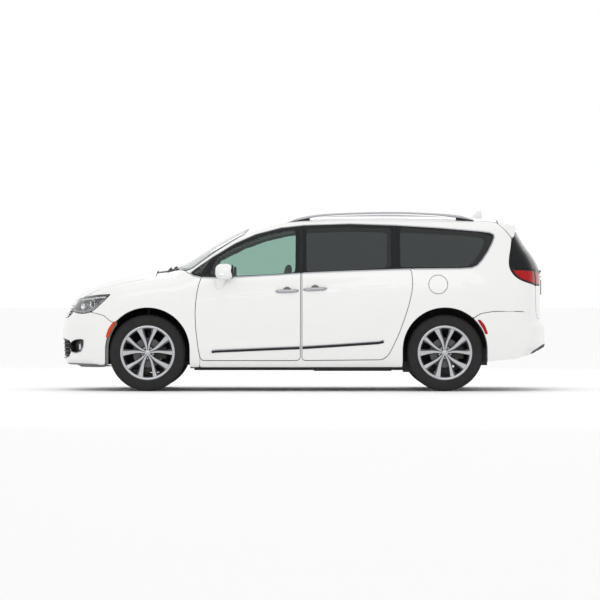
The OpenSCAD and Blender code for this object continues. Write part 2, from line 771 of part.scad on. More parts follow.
module liftgate() {
    difference() {
        intersection() {
            shell(0, gate_depth);
            side_prism(GATE_EDGE, 0);
            union() {
                end_prism(GATE, 1900, 2700);
                intersection() {
                    side_prism([[1990, 1570], [1990, 1900], [2700, 1900], [2700, 1572], [2130, 1572]]);
                    block([1900, -900, 1500], [2700, 900, 2000]);
                }
            }
        }
        end_prism(GATE_WINDOW, 2150, 2700);
        end_prism(GATE_LAMP, 2380, 2700, panel_gap);
    }
}
color(white) liftgate();

module liftgate_glass() {
    intersection() {
        shell(6, 6 + glass_depth);
        end_prism(GATE_WINDOW, 2150, 2700, -pin_clearance);
    }
}
color(glass_tint) liftgate_glass();

module liftgate_lamps() {
    intersection() {
        shell(0, 40);
        end_prism(GATE_LAMP, 2380, 2700);
    }
}
color("darkred") liftgate_lamps();

// Flat holder with four holes for a licence plate.
module plate_holder() {
    difference() {
        translate([tail_x + 0.3, -160, 985]) cube([10, 320, 156]);
        for (y = [-1, 1], z = [-1, 1])
            translate([tail_x - 1, y * plate_hole_x / 2, 1063 + z * plate_hole_z / 2])
                rotate([0, 90, 0]) cylinder(r = plate_hole_r, h = 20);
    }
}
color("black") plate_holder();

module fuel_door() {
    intersection() {
        shell(0, 10);
        side_prism(FUEL_DOOR, -1, 0, 500);
    }
    // Latch peg that reaches the floor of the pocket.
    translate([1440, -half_width + 30, 1090]) rotate([-90, 0, 0])
        cylinder(r = 6, h = 30 - pin_clearance);
}
color(white) fuel_door();

// Rim with two spokes and a hub, facing the driver.
module steering_wheel() {
    translate([-820, -400, 1024]) rotate([0, column_tilt, 0]) {
        rotate_extrude($fn = 48) translate([180, 0]) circle(14, $fn = 20);
        cylinder(r = 62, h = 24, center = true);
        for (a = [0, 180, 270]) rotate([0, 0, a]) translate([50, -16, -7]) cube([122, 32, 14]);
    }
}
color("black") steering_wheel();

// Upright with its spindle, its seat over the ball joint and the caliper.
module knuckle(s) {
    y = s * (half_track - 65);
    difference() {
        union() {
            block([front_axle - 45, y - 12, arm_low + 28], [front_axle + 45, y + 12, axle_z + 70]);
            translate([front_axle, y, axle_z]) rotate([-90 * s, 0, 0])
                cylinder(r = spindle_radius, h = 150);
            block([front_axle - 30, min(y, s * (half_track + 28)), arm_low + 28],
                [front_axle + 30, max(y, s * (half_track + 28)), arm_low + 40]);
        }
        translate([front_axle, s * half_track, arm_low + 20])
            cylinder(r = 12 + pin_clearance, h = 40);
    }
    caliper(front_axle, s);
}
color("gray") knuckle(-1);  // knuckle_left
color("gray") knuckle(1);  // knuckle_right

// One wheel in its own axes, facing up: barrel, flanges, spokes, hub and brake disc.
module wheel_body() {
    rotate_extrude($fn = 96) polygon([[barrel_radius, -112], [rim_radius, -112],
        [rim_radius, -104], [bead_radius, -100], [bead_radius, 100], [rim_radius, 104],
        [rim_radius, 112], [barrel_radius, 112]]);
    for (i = [0 : spokes - 1]) rotate([0, 0, 90 + i * 360 / spokes])
        translate([0, 0, 72]) linear_extrude(36) polygon([[68, -20], [68, 20],
            [barrel_radius + 8, 14], [barrel_radius + 8, -14]]);
    difference() {
        union() {
            translate([0, 0, -9]) cylinder(r = 72, h = 115, $fn = 96);
            translate([0, 0, -30]) cylinder(r = disc_radius, h = 22, $fn = 96);
        }
        translate([0, 0, -31]) cylinder(r = spindle_radius + pin_clearance, h = 121.3);
    }
}
module wheel(x, s) {
    translate([x, s * half_track, axle_z]) rotate([-90 * s, 0, 0]) wheel_body();
}
color("silver") wheel(front_axle, -1);  // wheel_front_left
color("silver") wheel(front_axle, 1);  // wheel_front_right
color("silver") wheel(rear_axle, -1);  // wheel_rear_left
color("silver") wheel(rear_axle, 1);  // wheel_rear_right

module tyre(x, s) {
    translate([x, s * half_track, axle_z]) rotate([90, 0, 0]) rotate_extrude($fn = 96) polygon([
        [bead_radius + 0.3, -99], [rim_radius + 1, -103], [rim_radius + 10, -116],
        [rim_radius + 50, -tyre_width / 2], [tyre_radius - 22, 6 - tyre_width / 2],
        [tyre_radius - 3, 30 - tyre_width / 2], [tyre_radius, 60 - tyre_width / 2],
        [tyre_radius, tyre_width / 2 - 60], [tyre_radius - 3, tyre_width / 2 - 30],
        [tyre_radius - 22, tyre_width / 2 - 6], [rim_radius + 50, tyre_width / 2],
        [rim_radius + 10, 116], [rim_radius + 1, 103], [bead_radius + 0.3, 99]]);
}
color("black") tyre(front_axle, -1);  // tyre_front_left
color("black") tyre(front_axle, 1);  // tyre_front_right
color("black") tyre(rear_axle, -1);  // tyre_rear_left
color("black") tyre(rear_axle, 1);  // tyre_rear_right
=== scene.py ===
"""A white family minivan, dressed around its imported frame.

The body panels are lifted from one smooth form, which follows the same design curves as the
frame's skin. Lengths are in millimetres until a mesh is made, and then in metres.
"""
import math

import bmesh
import bpy
import numpy as np
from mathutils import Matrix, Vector
from mathutils.geometry import delaunay_2d_cdt


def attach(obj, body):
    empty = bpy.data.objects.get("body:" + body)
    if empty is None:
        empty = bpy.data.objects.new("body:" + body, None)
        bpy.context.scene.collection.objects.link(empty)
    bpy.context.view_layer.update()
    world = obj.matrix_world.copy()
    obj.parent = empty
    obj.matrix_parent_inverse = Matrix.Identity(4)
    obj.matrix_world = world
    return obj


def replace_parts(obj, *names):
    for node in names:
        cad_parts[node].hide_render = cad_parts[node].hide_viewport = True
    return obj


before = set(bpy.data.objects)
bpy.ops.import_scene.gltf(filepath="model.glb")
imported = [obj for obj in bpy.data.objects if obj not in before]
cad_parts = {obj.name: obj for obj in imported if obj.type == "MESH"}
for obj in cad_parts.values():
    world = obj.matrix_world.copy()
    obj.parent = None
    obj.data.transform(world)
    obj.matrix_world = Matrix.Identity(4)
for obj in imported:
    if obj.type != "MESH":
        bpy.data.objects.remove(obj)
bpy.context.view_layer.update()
MM = 0.001
SIDES = (("left", True), ("right", False))  # each side, and whether it is the mirrored one

# ---------------------------------------------------------------- design curves of the body
HALF_WIDTH = 1010
ROOF = 1804
LEAN = 0.455
TOP = [(-2520, 835), (-2420, 905), (-2319, 994), (-2193, 1060), (-2068, 1109), (-1880, 1161),
       (-1692, 1203), (-1520, 1238), (-1336, 1268), (-877, 1527), (-584, 1673), (-438, 1715),
       (-250, 1756), (0, ROOF - 19), (400, ROOF - 4), (850, ROOF), (1300, ROOF - 6),
       (1880, ROOF - 27), (2216, 1738)]
CROWN = [(-2500, 60), (-1500, 62), (-1300, 70), (-500, 50), (0, 38), (2200, 38)]
PLAN = [(-2500, HALF_WIDTH - 200), (-2300, HALF_WIDTH - 105), (-2100, HALF_WIDTH - 52),
        (-1900, HALF_WIDTH - 24), (-1600, HALF_WIDTH - 6), (0, HALF_WIDTH), (1200, HALF_WIDTH - 2),
        (1700, HALF_WIDTH - 14), (2000, HALF_WIDTH - 34), (2300, HALF_WIDTH - 80),
        (2520, HALF_WIDTH - 130)]
TUCK = [(240, 45), (300, 22), (400, 8), (520, 0), (850, 0), (1000, 8), (1150, 30), (1250, 62),
        (1900, 62 + 650 * LEAN)]
NOSE = [(200, -2470), (256, -2486), (341, -2503), (480, -2511), (565, -2511), (649, -2507),
        (733, -2486), (1100, -2345)]
TAIL = [(300, 2440), (398, 2453), (482, 2458), (1150, 2458), (1234, 2447), (1318, 2414),
        (1401, 2362), (1485, 2299), (1568, 2247), (1652, 2206), (1800, 2225)]
SILL = [(-2520, 262), (-2000, 256), (-1200, 240), (1000, 240), (1700, 255), (1836, 286),
        (2164, 315), (2446, 395)]
# The light line that runs back along both sides, and how deep the doors are scooped below it.
CREASE = [(-1180, 905), (-1029, 929), (-296, 1002), (265, 1030), (1096, 1087), (1549, 1095),
          (1875, 1053)]


def curve(points):
    """A smooth curve through points that never overshoots them, and runs level past its ends."""
    px, py = (np.array(v, float) for v in zip(*points))
    h, d = np.diff(px), np.diff(py) / np.diff(px)
    m = np.zeros(len(px))
    m[0], m[-1] = d[0], d[-1]
    for k in range(1, len(px) - 1):
        if d[k - 1] * d[k] > 0:
            w1, w2 = 2 * h[k] + h[k - 1], h[k] + 2 * h[k - 1]
            m[k] = (w1 + w2) / (w1 / d[k - 1] + w2 / d[k])

    def at(x):
        x = np.clip(x, px[0], px[-1])
        k = np.clip(np.searchsorted(px, x) - 1, 0, len(h) - 1)
        t = (x - px[k]) / h[k]
        return ((1 + 2 * t) * (1 - t) ** 2 * py[k] + t * (1 - t) ** 2 * h[k] * m[k]
                + t * t * (3 - 2 * t) * py[k + 1] + t * t * (t - 1) * h[k] * m[k + 1])
    return at


top, crown, plan, tuck = curve(TOP), curve(CROWN), curve(PLAN), curve(TUCK)
nose, tail, sill, crease = curve(NOSE), curve(TAIL), curve(SILL), curve(CREASE)


def soft_max(a, b, k):
    return np.maximum(a, b) + np.maximum(k - np.abs(a - b), 0) ** 2 / (4 * k)


def smooth_step(t):
    t = np.clip(t, 0, 1)
    return t * t * (3 - 2 * t)


def side_relief(x, z):
    """How far the sides are drawn in by the light line and by the scoop over the sill."""
    along = smooth_step((x + 1250) / 250) * smooth_step((1960 - x) / 260)
    up = z - crease(x)
    line = 7 * smooth_step((up + 4) / 16) * smooth_step((175 - up) / 130)
    scoop = 11 * smooth_step((z - 430) / 90) * smooth_step((760 - z) / 210)
    doors = smooth_step((x + 1150) / 150) * smooth_step((1000 - x) / 200)
    return along * line + doors * scoop


def bumper_step(z):
    """How far the rear bumper stands out behind the liftgate."""
    return 48 * smooth_step((z - 395) / 60) * smooth_step((718 - z) / 60)


def skin(x, y, z, depth=0.0):
    """Distance outside the body's form, less a depth. The bottom isn't drawn in."""
    side = np.abs(y) - plan(x) + tuck(z) + side_relief(x, z)
    rise = (top(x + 25) - top(x - 25)) / 50
    upper = (z - top(x) + crown(x) * (y / 700) ** 2) / np.sqrt(1 + rise ** 2)
    bow = 40 * (np.abs(y) / 400) ** 2.7
    bow_rise = 2.7 * bow / np.maximum(np.abs(y), 1)
    front = (nose(z) + bow - x) / np.sqrt(1 + bow_rise ** 2)
    back_bow = 15 * (np.abs(y) / 400) ** 2.9
    back_rise = 2.9 * back_bow / np.maximum(np.abs(y), 1)
    lean = (tail(z + 25) - tail(z - 25)) / 50
    back = (x - tail(z) - bumper_step(z) + back_bow) / np.sqrt(1 + lean ** 2 + back_rise ** 2)
    low = sill(x) - z - np.minimum(np.abs(depth), 20) - depth
    return soft_max(soft_max(soft_max(side, upper, 110), low, 20), soft_max(front, back, 20), 90) \
        + depth


def skin_normals(p):
    g = np.stack([skin(*(p + s).T) - skin(*(p - s).T) for s in 2.0 * np.eye(3)], 1)
    return g / np.maximum(np.linalg.norm(g, axis=1, keepdims=True), 1e-9)


def search(place, near, far, depth, steps=24):
    """Where points that move from near to far leave the form."""
    near, far = np.broadcast_arrays(np.array(near, float), np.array(far, float))
    near, far = near.copy(), far.copy()
    for _ in range(steps):
        mid = (near + far) / 2
        p = place(mid)
        out = skin(p[0], p[1], p[2], depth) > 0
        far[out] = mid[out]
        near[~out] = mid[~out]
    return np.stack(place((near + far) / 2), 1)


# ---------------------------------------------------------------- charts: flat maps of the form
SPINE = curve([(-2511, 522), (-2300, 640), (-1500, 740), (2150, 900), (2300, 850), (2460, 780)])


class Barrel:
    """Sides and top: along the length, and round a spine."""
    scale = 900.0

    @staticmethod
    def flat(p):
        return np.stack([p[:, 0], Barrel.scale * np.arctan2(p[:, 2] - SPINE(p[:, 0]), p[:, 1])], 1)

    @staticmethod
    def lift(q, depth):
        x, a, c = q[:, 0], q[:, 1] / Barrel.scale, SPINE(q[:, 0])
        return search(lambda r: (x, r * np.cos(a), c + r * np.sin(a)), np.zeros(len(q)), 1500, depth)


class End:
    """Nose or tail: round an upright axis, and up."""
    def __init__(self, axis, way, scale=760.0):
        self.axis, self.way, self.scale = axis, way, scale

    def flat(self, p):
        a = np.arctan2(p[:, 1], self.way * (p[:, 0] - self.axis))
        return np.stack([self.scale * a, p[:, 2]], 1)

    def lift(self, q, depth):
        a, z = q[:, 0] / self.scale, q[:, 1]
        return search(lambda r: (self.axis + self.way * r * np.cos(a), r * np.sin(a), z),
                      np.zeros(len(q)), 1300, depth)


BARREL, FRONT, BACK = Barrel(), End(-1720, -1), End(1700, 1)


def on_side(points):
    """Side view points on the right of the skin."""
    x, z = np.array(points, float).T
    return search(lambda y: (x, y, z), np.zeros(len(x)), 1100, 0)


def on_top(points):
    x, y = np.array(points, float).T
    return search(lambda z: (x, y, z), np.full(len(x), 700), 1900, 0)


def on_front(points):
    y, z = np.array(points, float).T
    return search(lambda x: (x, y, z), np.full(len(y), -1500), -2600, 0)


def on_back(points):
    y, z = np.array(points, float).T
    return search(lambda x: (x, y, z), np.full(len(y), 1500), 2600, 0)


VIEWS = {"side": on_side, "top": on_top, "front": on_front, "back": on_back}


def dense(points, step=12, closed=False):
    points = [np.array(p, float) for p in points]
    if closed:
        points.append(points[0])
    out = []
    for a, b in zip(points, points[1:]):
        n = max(1, int(np.linalg.norm(b - a) / step))
        out += [a + (b - a) * k / n for k in range(n)]
    return out if closed else out + [points[-1]]


def lines(*parts):
    """A line on the skin from stretches, each drawn in one view."""
    return np.concatenate([VIEWS[view](dense(points)) for view, points in parts])


def smooth_loop(p, rounds=5, step=12):
    """A closed line through points, whose corners come out rounded."""
    p = np.array(dense(list(p), step, closed=True))
    for _ in range(rounds):
        p = p / 2 + (np.roll(p, 1, 0) + np.roll(p, -1, 0)) / 4
    return p


def loop(*parts, rounds=5):
    return smooth_loop(lines(*parts), rounds)


def half_loop(*parts, rounds=5):
    """A closed line from the stretches of its right half, which starts and ends on the middle line."""
    half = lines(*parts)
    return smooth_loop(np.concatenate([half, (half * [1, -1, 1])[::-1]]), rounds)


def side_line(points, step):
    return on_side(dense(points, step))


def below_skin(points, by):
    """Points on the skin moved in along its normals."""
    return points - skin_normals(points) * by


def arc(cx, cz, rx, rz, start, end, step=4):
    n = max(2, int(abs(end - start) / step))
    return [(cx + rx * math.cos(math.radians(start + (end - start) * k / n)),
             cz + rz * math.sin(math.radians(start + (end - start) * k / n))) for k in range(n + 1)]


# ---------------------------------------------------------------- flat shapes
def circle(n):
    """Angles of n points round a full turn."""
    return [2 * math.pi * k / n for k in range(n)]


def bulge(value, power):
    """A power of a sine or cosine that keeps its sign, which squares a circle off."""
    return math.copysign(abs(value) ** power, value)


def area(q):
    x, y = q.T
    return 0.5 * float(np.sum(x * np.roll(y, -1) - y * np.roll(x, -1)))


def inset(q, by):
    """A closed flat line moved to its left by some distance."""
    t = np.roll(q, -1, 0) - np.roll(q, 1, 0)
    t /= np.maximum(np.linalg.norm(t, axis=1, keepdims=True), 1e-9)
    return q + by * np.stack([-t[:, 1], t[:, 0]], 1)


def wound(q, left):
    """A closed flat line, wound to the left or to the right."""
    return q if (area(q) > 0) == left else q[::-1]


def inside(q, ring):
    x, y = q.T
    hit = np.zeros(len(q), bool)
    for (ax, ay), (bx, by) in zip(ring, np.roll(ring, -1, 0)):
        if ay != by:
            hit ^= ((ay > y) != (by > y)) & (x < (bx - ax) * (y - ay) / (by - ay) + ax)
    return hit


def far_from(q, lines, gap):
    keep = np.ones(len(q), bool)
    for ring in lines:
        for k in range(0, len(q), 4000):
            d = np.linalg.norm(q[k:k + 4000, None] - ring[None], axis=2).min(1)
            keep[k:k + 4000] &= d > gap
    return keep


def triangles(rings, step, extra=()):
    """Triangles of the area in the first ring and outside the others, through grid points."""
    low, high = rings[0].min(0), rings[0].max(0)
    gx, gy = np.meshgrid(np.arange(low[0], high[0], step), np.arange(low[1], high[1], step * 0.87))
    gx[1::2] += step / 2
    q = np.stack([gx.ravel(), gy.ravel()], 1)
    q = q[inside(q, rings[0])]
    for ring in rings[1:]:
        q = q[~inside(q, ring)]
    q = q[far_from(q, list(rings) + list(extra), step * 0.45)]
    points, edges = [], []
    for ring in list(rings) + list(extra):
        n = len(points)
        points += [Vector(v) for v in ring]
        edges += [(n + k, n + (k + 1) % len(ring)) for k in range(len(ring))]
    points += [Vector(v) for v in q]
    vs, _, fs, *_ = delaunay_2d_cdt(points, edges, [], 0, 1e-4)
    v = np.array([tuple(p) for p in vs])
    f = np.array(fs)
    mid = v[f].mean(1)
    good = inside(mid, rings[0])
    for ring in rings[1:]:
        good &= ~inside(mid, ring)
    f = f[good]
    e1, e2 = v[f[:, 1]] - v[f[:, 0]], v[f[:, 2]] - v[f[:, 0]]
    turn = e1[:, 0] * e2[:, 1] - e1[:, 1] * e2[:, 0]
    f[turn < 0] = f[turn < 0][:, ::-1]
    return v, f[np.abs(turn) > 1e-6]


# ---------------------------------------------------------------- making objects
def mesh_object(name, points, faces, materials, body, indices, normals=None):
    """A mesh from points in millimetres, which rides on a body. Normals are one per face corner."""
    mesh = bpy.data.meshes.new(name)
    mesh.from_pydata([tuple(p) for p in np.array(points) * MM], [], [list(map(int, f)) for f in faces])
    for m in materials:
        mesh.materials.append(m)
    mesh.polygons.foreach_set("material_index", np.array(indices, np.int32))
    mesh.polygons.foreach_set("use_smooth", [True] * len(mesh.polygons))
    mesh.update()
    if normals is not None:
        mesh.normals_split_custom_set([tuple(n) for n in normals])
    o = bpy.data.objects.new(name, mesh)
    bpy.context.scene.collection.objects.link(o)
    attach(o, body)
    return o


def rim_edges(faces):
    """Directed edges that only one triangle uses."""
    e = np.concatenate([faces[:, [0, 1]], faces[:, [1, 2]], faces[:, [2, 0]]])
    key = {(a, b) for a, b in e.tolist()}
    return [(a, b) for a, b in key if (b, a) not in key]


def mirrored(points, faces, corners):
    """A mesh and its corner normals on the other side of the body."""
    flipped, at = [], 0
    for face in faces:
        flipped += [(x, -y, z) for x, y, z in corners[at:at + len(face)]][::-1]
        at += len(face)
    return points * [1, -1, 1], [face[::-1] for face in faces], flipped


def panel(name, chart, rings, outer, inner, materials, body, mirror=False, grid=34,
          gap=3.0, zones=(), roll=3.0, lip=5.0, through=False, node=None):
    """A closed panel between two depths under the skin, with its outer edges rolled over.

    rings are closed lines on the skin: the outline, then the holes. Each zone is a line and the
    number of the material inside it. materials are the outside's, the inside's, then the zones'.
    """
    flat = [inset(wound(chart.flat(ring), k == 0), gap) for k, ring in enumerate(rings)]
    lips = [inset(q, lip) for q in flat] if roll else []
    zone_rings = [chart.flat(ring) for ring, _ in zones]
    v, f = triangles(flat, grid, lips + zone_rings)
    on_rim = np.zeros(len(v), bool)
    for a, b in rim_edges(f):
        on_rim[a] = True
    depth = np.where(on_rim, outer + roll, outer) if roll else np.full(len(v), float(outer))
    outside = np.zeros((len(v), 3))
    for d in np.unique(depth):
        pick = depth == d
        outside[pick] = chart.lift(v[pick], d)
    inside_points = chart.lift(v, inner)
    normal = skin_normals(outside)
    corner = outside[f]
    face_n = np.cross(corner[:, 1] - corner[:, 0], corner[:, 2] - corner[:, 0])
    if np.sum(face_n * normal[f[:, 0]]) < 0:
        f = f[:, ::-1]
    n = len(v)
    faces = f.tolist() + (f[:, ::-1] + n).tolist()
    mid = v[f].mean(1)
    kind = np.zeros(len(f), int)
    for ring, (_, number) in zip(zone_rings, zones):
        kind[inside(mid, ring)] = number
    indices = kind.tolist() + (kind.tolist() if through else [1] * len(f))
    corners = normal[f].reshape(-1, 3).tolist() + (-normal[f[:, ::-1]]).reshape(-1, 3).tolist()
    points = np.concatenate([outside, inside_points])
    for a, b in rim_edges(f):
        faces.append([b, a, a + n, b + n])
        wall = np.cross(points[a] - points[b], points[a + n] - points[b])
        wall = wall / max(np.linalg.norm(wall), 1e-9)
        corners += [wall.tolist()] * 4
        indices.append(1)
    if mirror:
        points, faces, corners = mirrored(points, faces, corners)
    made = mesh_object(name, points, faces, materials, body, indices, corners)
    if node:
        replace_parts(made, node)
    return made


def shrink(chart, ring, by):
    """A closed line on the skin, drawn in by some distance."""
    return chart.lift(inset(wound(chart.flat(ring), True), by), 0)


def backing(name, chart, ring, out, back, depth, mirror=False):
    """A flange behind a seam, so that the gap isn't seen through. Its dark grey is painted shade, which makes
    the gap read as a dark line.
    """
    panel(name, chart, [shrink(chart, ring, -out), shrink(chart, ring, back)], depth, depth + 3,
          [INNER_STEEL_AND_SHADE, INNER_STEEL_AND_SHADE], "root", mirror=mirror, grid=60, gap=0, roll=0)


def pocket(name, ring, depth, back, wall, mirror=False, start=4, edge=6):
    """A recess behind an opening in the front: walls round its edge, and a floor."""
    panel(name + "_wall", FRONT, [shrink(FRONT, ring, -1), shrink(FRONT, ring, edge)], start,
          depth + 4, [wall, wall], "root", mirror=mirror, grid=60, gap=0, roll=0)
    panel(name + "_floor", FRONT, [ring], depth, depth + 4, [back, back], "root",
          mirror=mirror, grid=30, gap=0, roll=0)


def lathe(profile, centre, way, steps):
    """Points and faces of a closed profile (radius, outwards) turned about a wheel's axle."""
    profile = np.array(profile, float)
    n = len(profile)
    points, faces = [], []
    for a in circle(steps):
        for r, o in profile:
            points.append((centre[0] + r * math.cos(a), centre[1] + way * o, centre[2] + r * math.sin(a)))
    for k in range(steps):
        for j in range(n):
            a, b = k * n + j, k * n + (j + 1) % n
            c, d = ((k + 1) % steps) * n + (j + 1) % n, ((k + 1) % steps) * n + j
            faces.append([a, b, c, d] if way > 0 else [d, c, b, a])
    return points, faces


class Parts:
    """Several closed pieces of geometry, gathered into one mesh."""
    def __init__(self):
        self.points, self.faces, self.kinds = [], [], []

    def add(self, points, faces, kind=0):
        n = len(self.points)
        self.points += [tuple(p) for p in points]
        self.faces += [[i + n for i in f] for f in faces]
        self.kinds += [kind] * len(faces)

    def sweep(self, rings, kind=0, closed=False):
        """A tube through rings of points with capped ends."""
        m, n = len(rings[0]), len(rings)
        points = [p for ring in rings for p in ring]
        faces = []
        for k in range(n if closed else n - 1):
            for j in range(m):
                a, b = k * m + j, k * m + (j + 1) % m
                c, d = ((k + 1) % n) * m + (j + 1) % m, ((k + 1) % n) * m + j
                faces.append([a, b, c, d])
        if not closed:
            faces += [list(range(m))[::-1], [(n - 1) * m + j for j in range(m)]]
        self.add(points, faces, kind)

    def box(self, low, high, kind, bevel):
        low, high = np.array(low, float), np.array(high, float)
        b = min(bevel, *(high - low) / 2.2)
        rings = []
        for z, s in ((low[2], b), (low[2] + b, 0), (high[2] - b, 0), (high[2], b)):
            rings.append(rounded(low[0] + s, low[1] + s, high[0] - s, high[1] - s, b * 1.2 + 0.01, z))
        self.sweep(rings, kind)

    def object(self, name, materials, body, slot, sharp=38, mirror=False):
        if mirror:
            self.points = [(x, -y, z) for x, y, z in self.points]
            self.faces = [face[::-1] for face in self.faces]
        made = mesh_object(name, self.points, self.faces, materials, body, self.kinds)
        work = bmesh.new()
        work.from_mesh(made.data)
        bmesh.ops.recalc_face_normals(work, faces=work.faces)
        work.to_mesh(made.data)
        work.free()
        made.data.set_sharp_from_angle(angle=math.radians(sharp))
        return made


def rounded(x0, y0, x1, y1, r, z, n=4):
    """A level ring of points round a box's outline with rounded corners."""
    out = []
    corners = ((x1 - r, y1 - r, 0), (x0 + r, y1 - r, 90), (x0 + r, y0 + r, 180), (x1 - r, y0 + r, 270))
    for cx, cy, a0 in corners:
        for k in range(n + 1):
            a = math.radians(a0 + 90 * k / n)
            out.append((cx + r * math.cos(a), cy + r * math.sin(a), z))
    return out


def strip(parts, line, width, height, kind=0, closed=False, sink=3.0):
    """A half round moulding along points on the skin."""
    p = np.array(line, float)
    t = np.roll(p, -1, 0) - np.roll(p, 1, 0)
    if not closed:
        t[0], t[-1] = p[1] - p[0], p[-1] - p[-2]
    t /= np.maximum(np.linalg.norm(t, axis=1, keepdims=True), 1e-9)
    n = skin_normals(p)
    s = np.cross(n, t)
    rings = []
    for k in range(len(p)):
        w = width / 2
        rings.append([p[k] + s[k] * w * a + n[k] * (height * b - (sink if b == 0 else 0))
                      for a, b in ((-1, 0), (-0.95, 0.55), (-0.5, 1), (0.5, 1), (0.95, 0.55), (1, 0))])
    parts.sweep(rings, kind, closed)


def turned(profile, at, axis, steps=40):
    """Rings of a solid turned about any axis: (radius, distance) pairs from one end to the other."""
    axis = np.array(axis, float) / np.linalg.norm(axis)
    u = np.cross(axis, [0, 0, 1] if abs(axis[2]) < 0.9 else [1, 0, 0])
    u /= np.linalg.norm(u)
    w = np.cross(axis, u)
    around = [u * math.cos(a) + w * math.sin(a) for a in circle(steps)]
    return [[np.array(at) + axis * d + way * max(r, 0.05) for way in around] for r, d in profile]


# ---------------------------------------------------------------- materials
def material(name, colour, rough=0.45, metal=0.0, coat=0.0, clear=0.0, ior=1.5, second=None,
             patch=(6.0, 0.25), grain=(900.0, 0.02), spread=0.05, sheen=0.0):
    """A surface with slow colour variation, uneven gloss and a fine grain."""
    m = bpy.data.materials.new(name)
    m.use_nodes = True
    nodes, links = m.node_tree.nodes, m.node_tree.links
    shader = nodes["Principled BSDF"]
    place = nodes.new("ShaderNodeTexCoord")

    def noise(scale, detail):
        n = nodes.new("ShaderNodeTexNoise")
        n.inputs["Scale"].default_value = scale
        n.inputs["Detail"].default_value = detail
        links.new(place.outputs["Object"], n.inputs["Vector"])
        return n.outputs["Fac"]

    def span(value, low, high):
        r = nodes.new("ShaderNodeMapRange")
        r.inputs["To Min"].default_value, r.inputs["To Max"].default_value = low, high
        links.new(value, r.inputs["Value"])
        return r.outputs["Result"]

    second = second or tuple(c * 0.86 for c in colour)
    mix = nodes.new("ShaderNodeMix")
    mix.data_type = "RGBA"
    mix.inputs["A"].default_value = (*colour, 1)
    mix.inputs["B"].default_value = (*second, 1)
    links.new(span(noise(patch[0], 4), 0, patch[1] * 2), mix.inputs["Factor"])
    links.new(mix.outputs["Result"], shader.inputs["Base Color"])
    links.new(span(noise(patch[0] * 3, 3), max(rough - spread, 0.0), rough + spread),
              shader.inputs["Roughness"])
    shader.inputs["Metallic"].default_value = metal
    shader.inputs["IOR"].default_value = ior
    if coat:
        shader.inputs["Coat Weight"].default_value = coat
        shader.inputs["Coat Roughness"].default_value = 0.03
    if clear:
        shader.inputs["Transmission Weight"].default_value = clear
    if sheen:
        shader.inputs["Sheen Weight"].default_value = sheen
        shader.inputs["Sheen Roughness"].default_value = 0.4
    if grain[1]:
        bump = nodes.new("ShaderNodeBump")
        bump.inputs["Strength"].default_value = grain[1]
        bump.inputs["Distance"].default_value = 0.0006
        links.new(noise(grain[0], 2), bump.inputs["Height"])
        links.new(bump.outputs["Normal"], shader.inputs["Normal"])
    return m


PAINT = material("white_paint", (0.80, 0.80, 0.79), 0.32, coat=0.8, second=(0.77, 0.77, 0.762),
                 grain=(420, 0.015), spread=0.03)
# Dark grey for the hidden inner faces, flanges and cups: partly the inner metal's own tone, partly painted
# shade for the hollows and gaps behind the skin.
INNER_STEEL_AND_SHADE = material("inner_steel_and_painted_shade", (0.16, 0.16, 0.16), 0.5, grain=(600, 0.05))
BLACK = material("gloss_black", (0.012, 0.013, 0.014), 0.12, ior=1.24, grain=(500, 0.01), spread=0.02)
TRIM = material("black_plastic", (0.016, 0.016, 0.017), 0.55, ior=1.3, grain=(1500, 0.35), spread=0.08)
MESH = material("grille_black", (0.015, 0.015, 0.016), 0.35, grain=(700, 0.1))
CHROME = material("chrome", (0.40, 0.41, 0.43), 0.10, metal=1.0, second=(0.30, 0.31, 0.33),
                  grain=(300, 0.01), spread=0.03)
RAIL = material("rail_metal", (0.40, 0.41, 0.43), 0.24, metal=1.0, grain=(900, 0.05))
TINT = material("dark_glass", (0.155, 0.175, 0.175), 0.02, clear=1.0, ior=1.45, grain=(1, 0), spread=0.01,
                second=(0.14, 0.16, 0.16))
GREEN = material("green_glass", (0.50, 0.66, 0.60), 0.01, clear=1.0, ior=1.45, grain=(1, 0), spread=0.008,
                 second=(0.47, 0.63, 0.57))
SCREEN_GLASS = material("screen_glass", (0.60, 0.74, 0.69), 0.01, clear=1.0, ior=1.45, grain=(1, 0),
                        spread=0.008, second=(0.57, 0.71, 0.66))
FRIT = material("frit", (0.010, 0.011, 0.012), 0.10, ior=1.24, grain=(600, 0.02), spread=0.02)
LENS = material("clear_lens", (0.93, 0.94, 0.95), 0.02, clear=1.0, ior=1.49, grain=(1, 0), spread=0.01,
                second=(0.90, 0.91, 0.92))
BEZEL = material("lamp_bezel", (0.26, 0.265, 0.27), 0.25, metal=0.7, grain=(600, 0.06))
REFLECTOR = material("reflector", (0.80, 0.81, 0.83), 0.12, metal=1.0, grain=(160, 0.25))
RED = material("red_lens", (0.50, 0.004, 0.008), 0.08, ior=1.3, second=(0.22, 0.002, 0.004),
               patch=(40, 0.5), grain=(220, 0.3))
AMBER = material("amber_lens", (0.62, 0.075, 0.010), 0.08, ior=1.3, second=(0.42, 0.035, 0.004),
                 patch=(60, 0.5), grain=(240, 0.3))
ALLOY = material("machined_alloy", (0.52, 0.53, 0.55), 0.26, metal=1.0, second=(0.40, 0.41, 0.43),
                 patch=(30, 0.4), grain=(2600, 0.12))
POCKET = material("painted_alloy", (0.085, 0.087, 0.092), 0.35, metal=0.4, coat=0.4, grain=(700, 0.05))
BARREL_METAL = material("barrel_metal", (0.085, 0.087, 0.090), 0.4, metal=0.6, grain=(700, 0.08))
DISC = material("brake_disc", (0.13, 0.13, 0.135), 0.36, metal=1.0, second=(0.09, 0.088, 0.085),
                patch=(25, 0.5), grain=(1500, 0.2))
CAST = material("cast_iron", (0.07, 0.07, 0.07), 0.55, metal=0.7, second=(0.055, 0.048, 0.042),
                patch=(18, 0.5), grain=(500, 0.5))
RUBBER = material("tyre_rubber", (0.014, 0.014, 0.015), 0.75, ior=1.3, second=(0.030, 0.029, 0.028),
                  patch=(14, 0.4), grain=(1100, 0.5), spread=0.08)
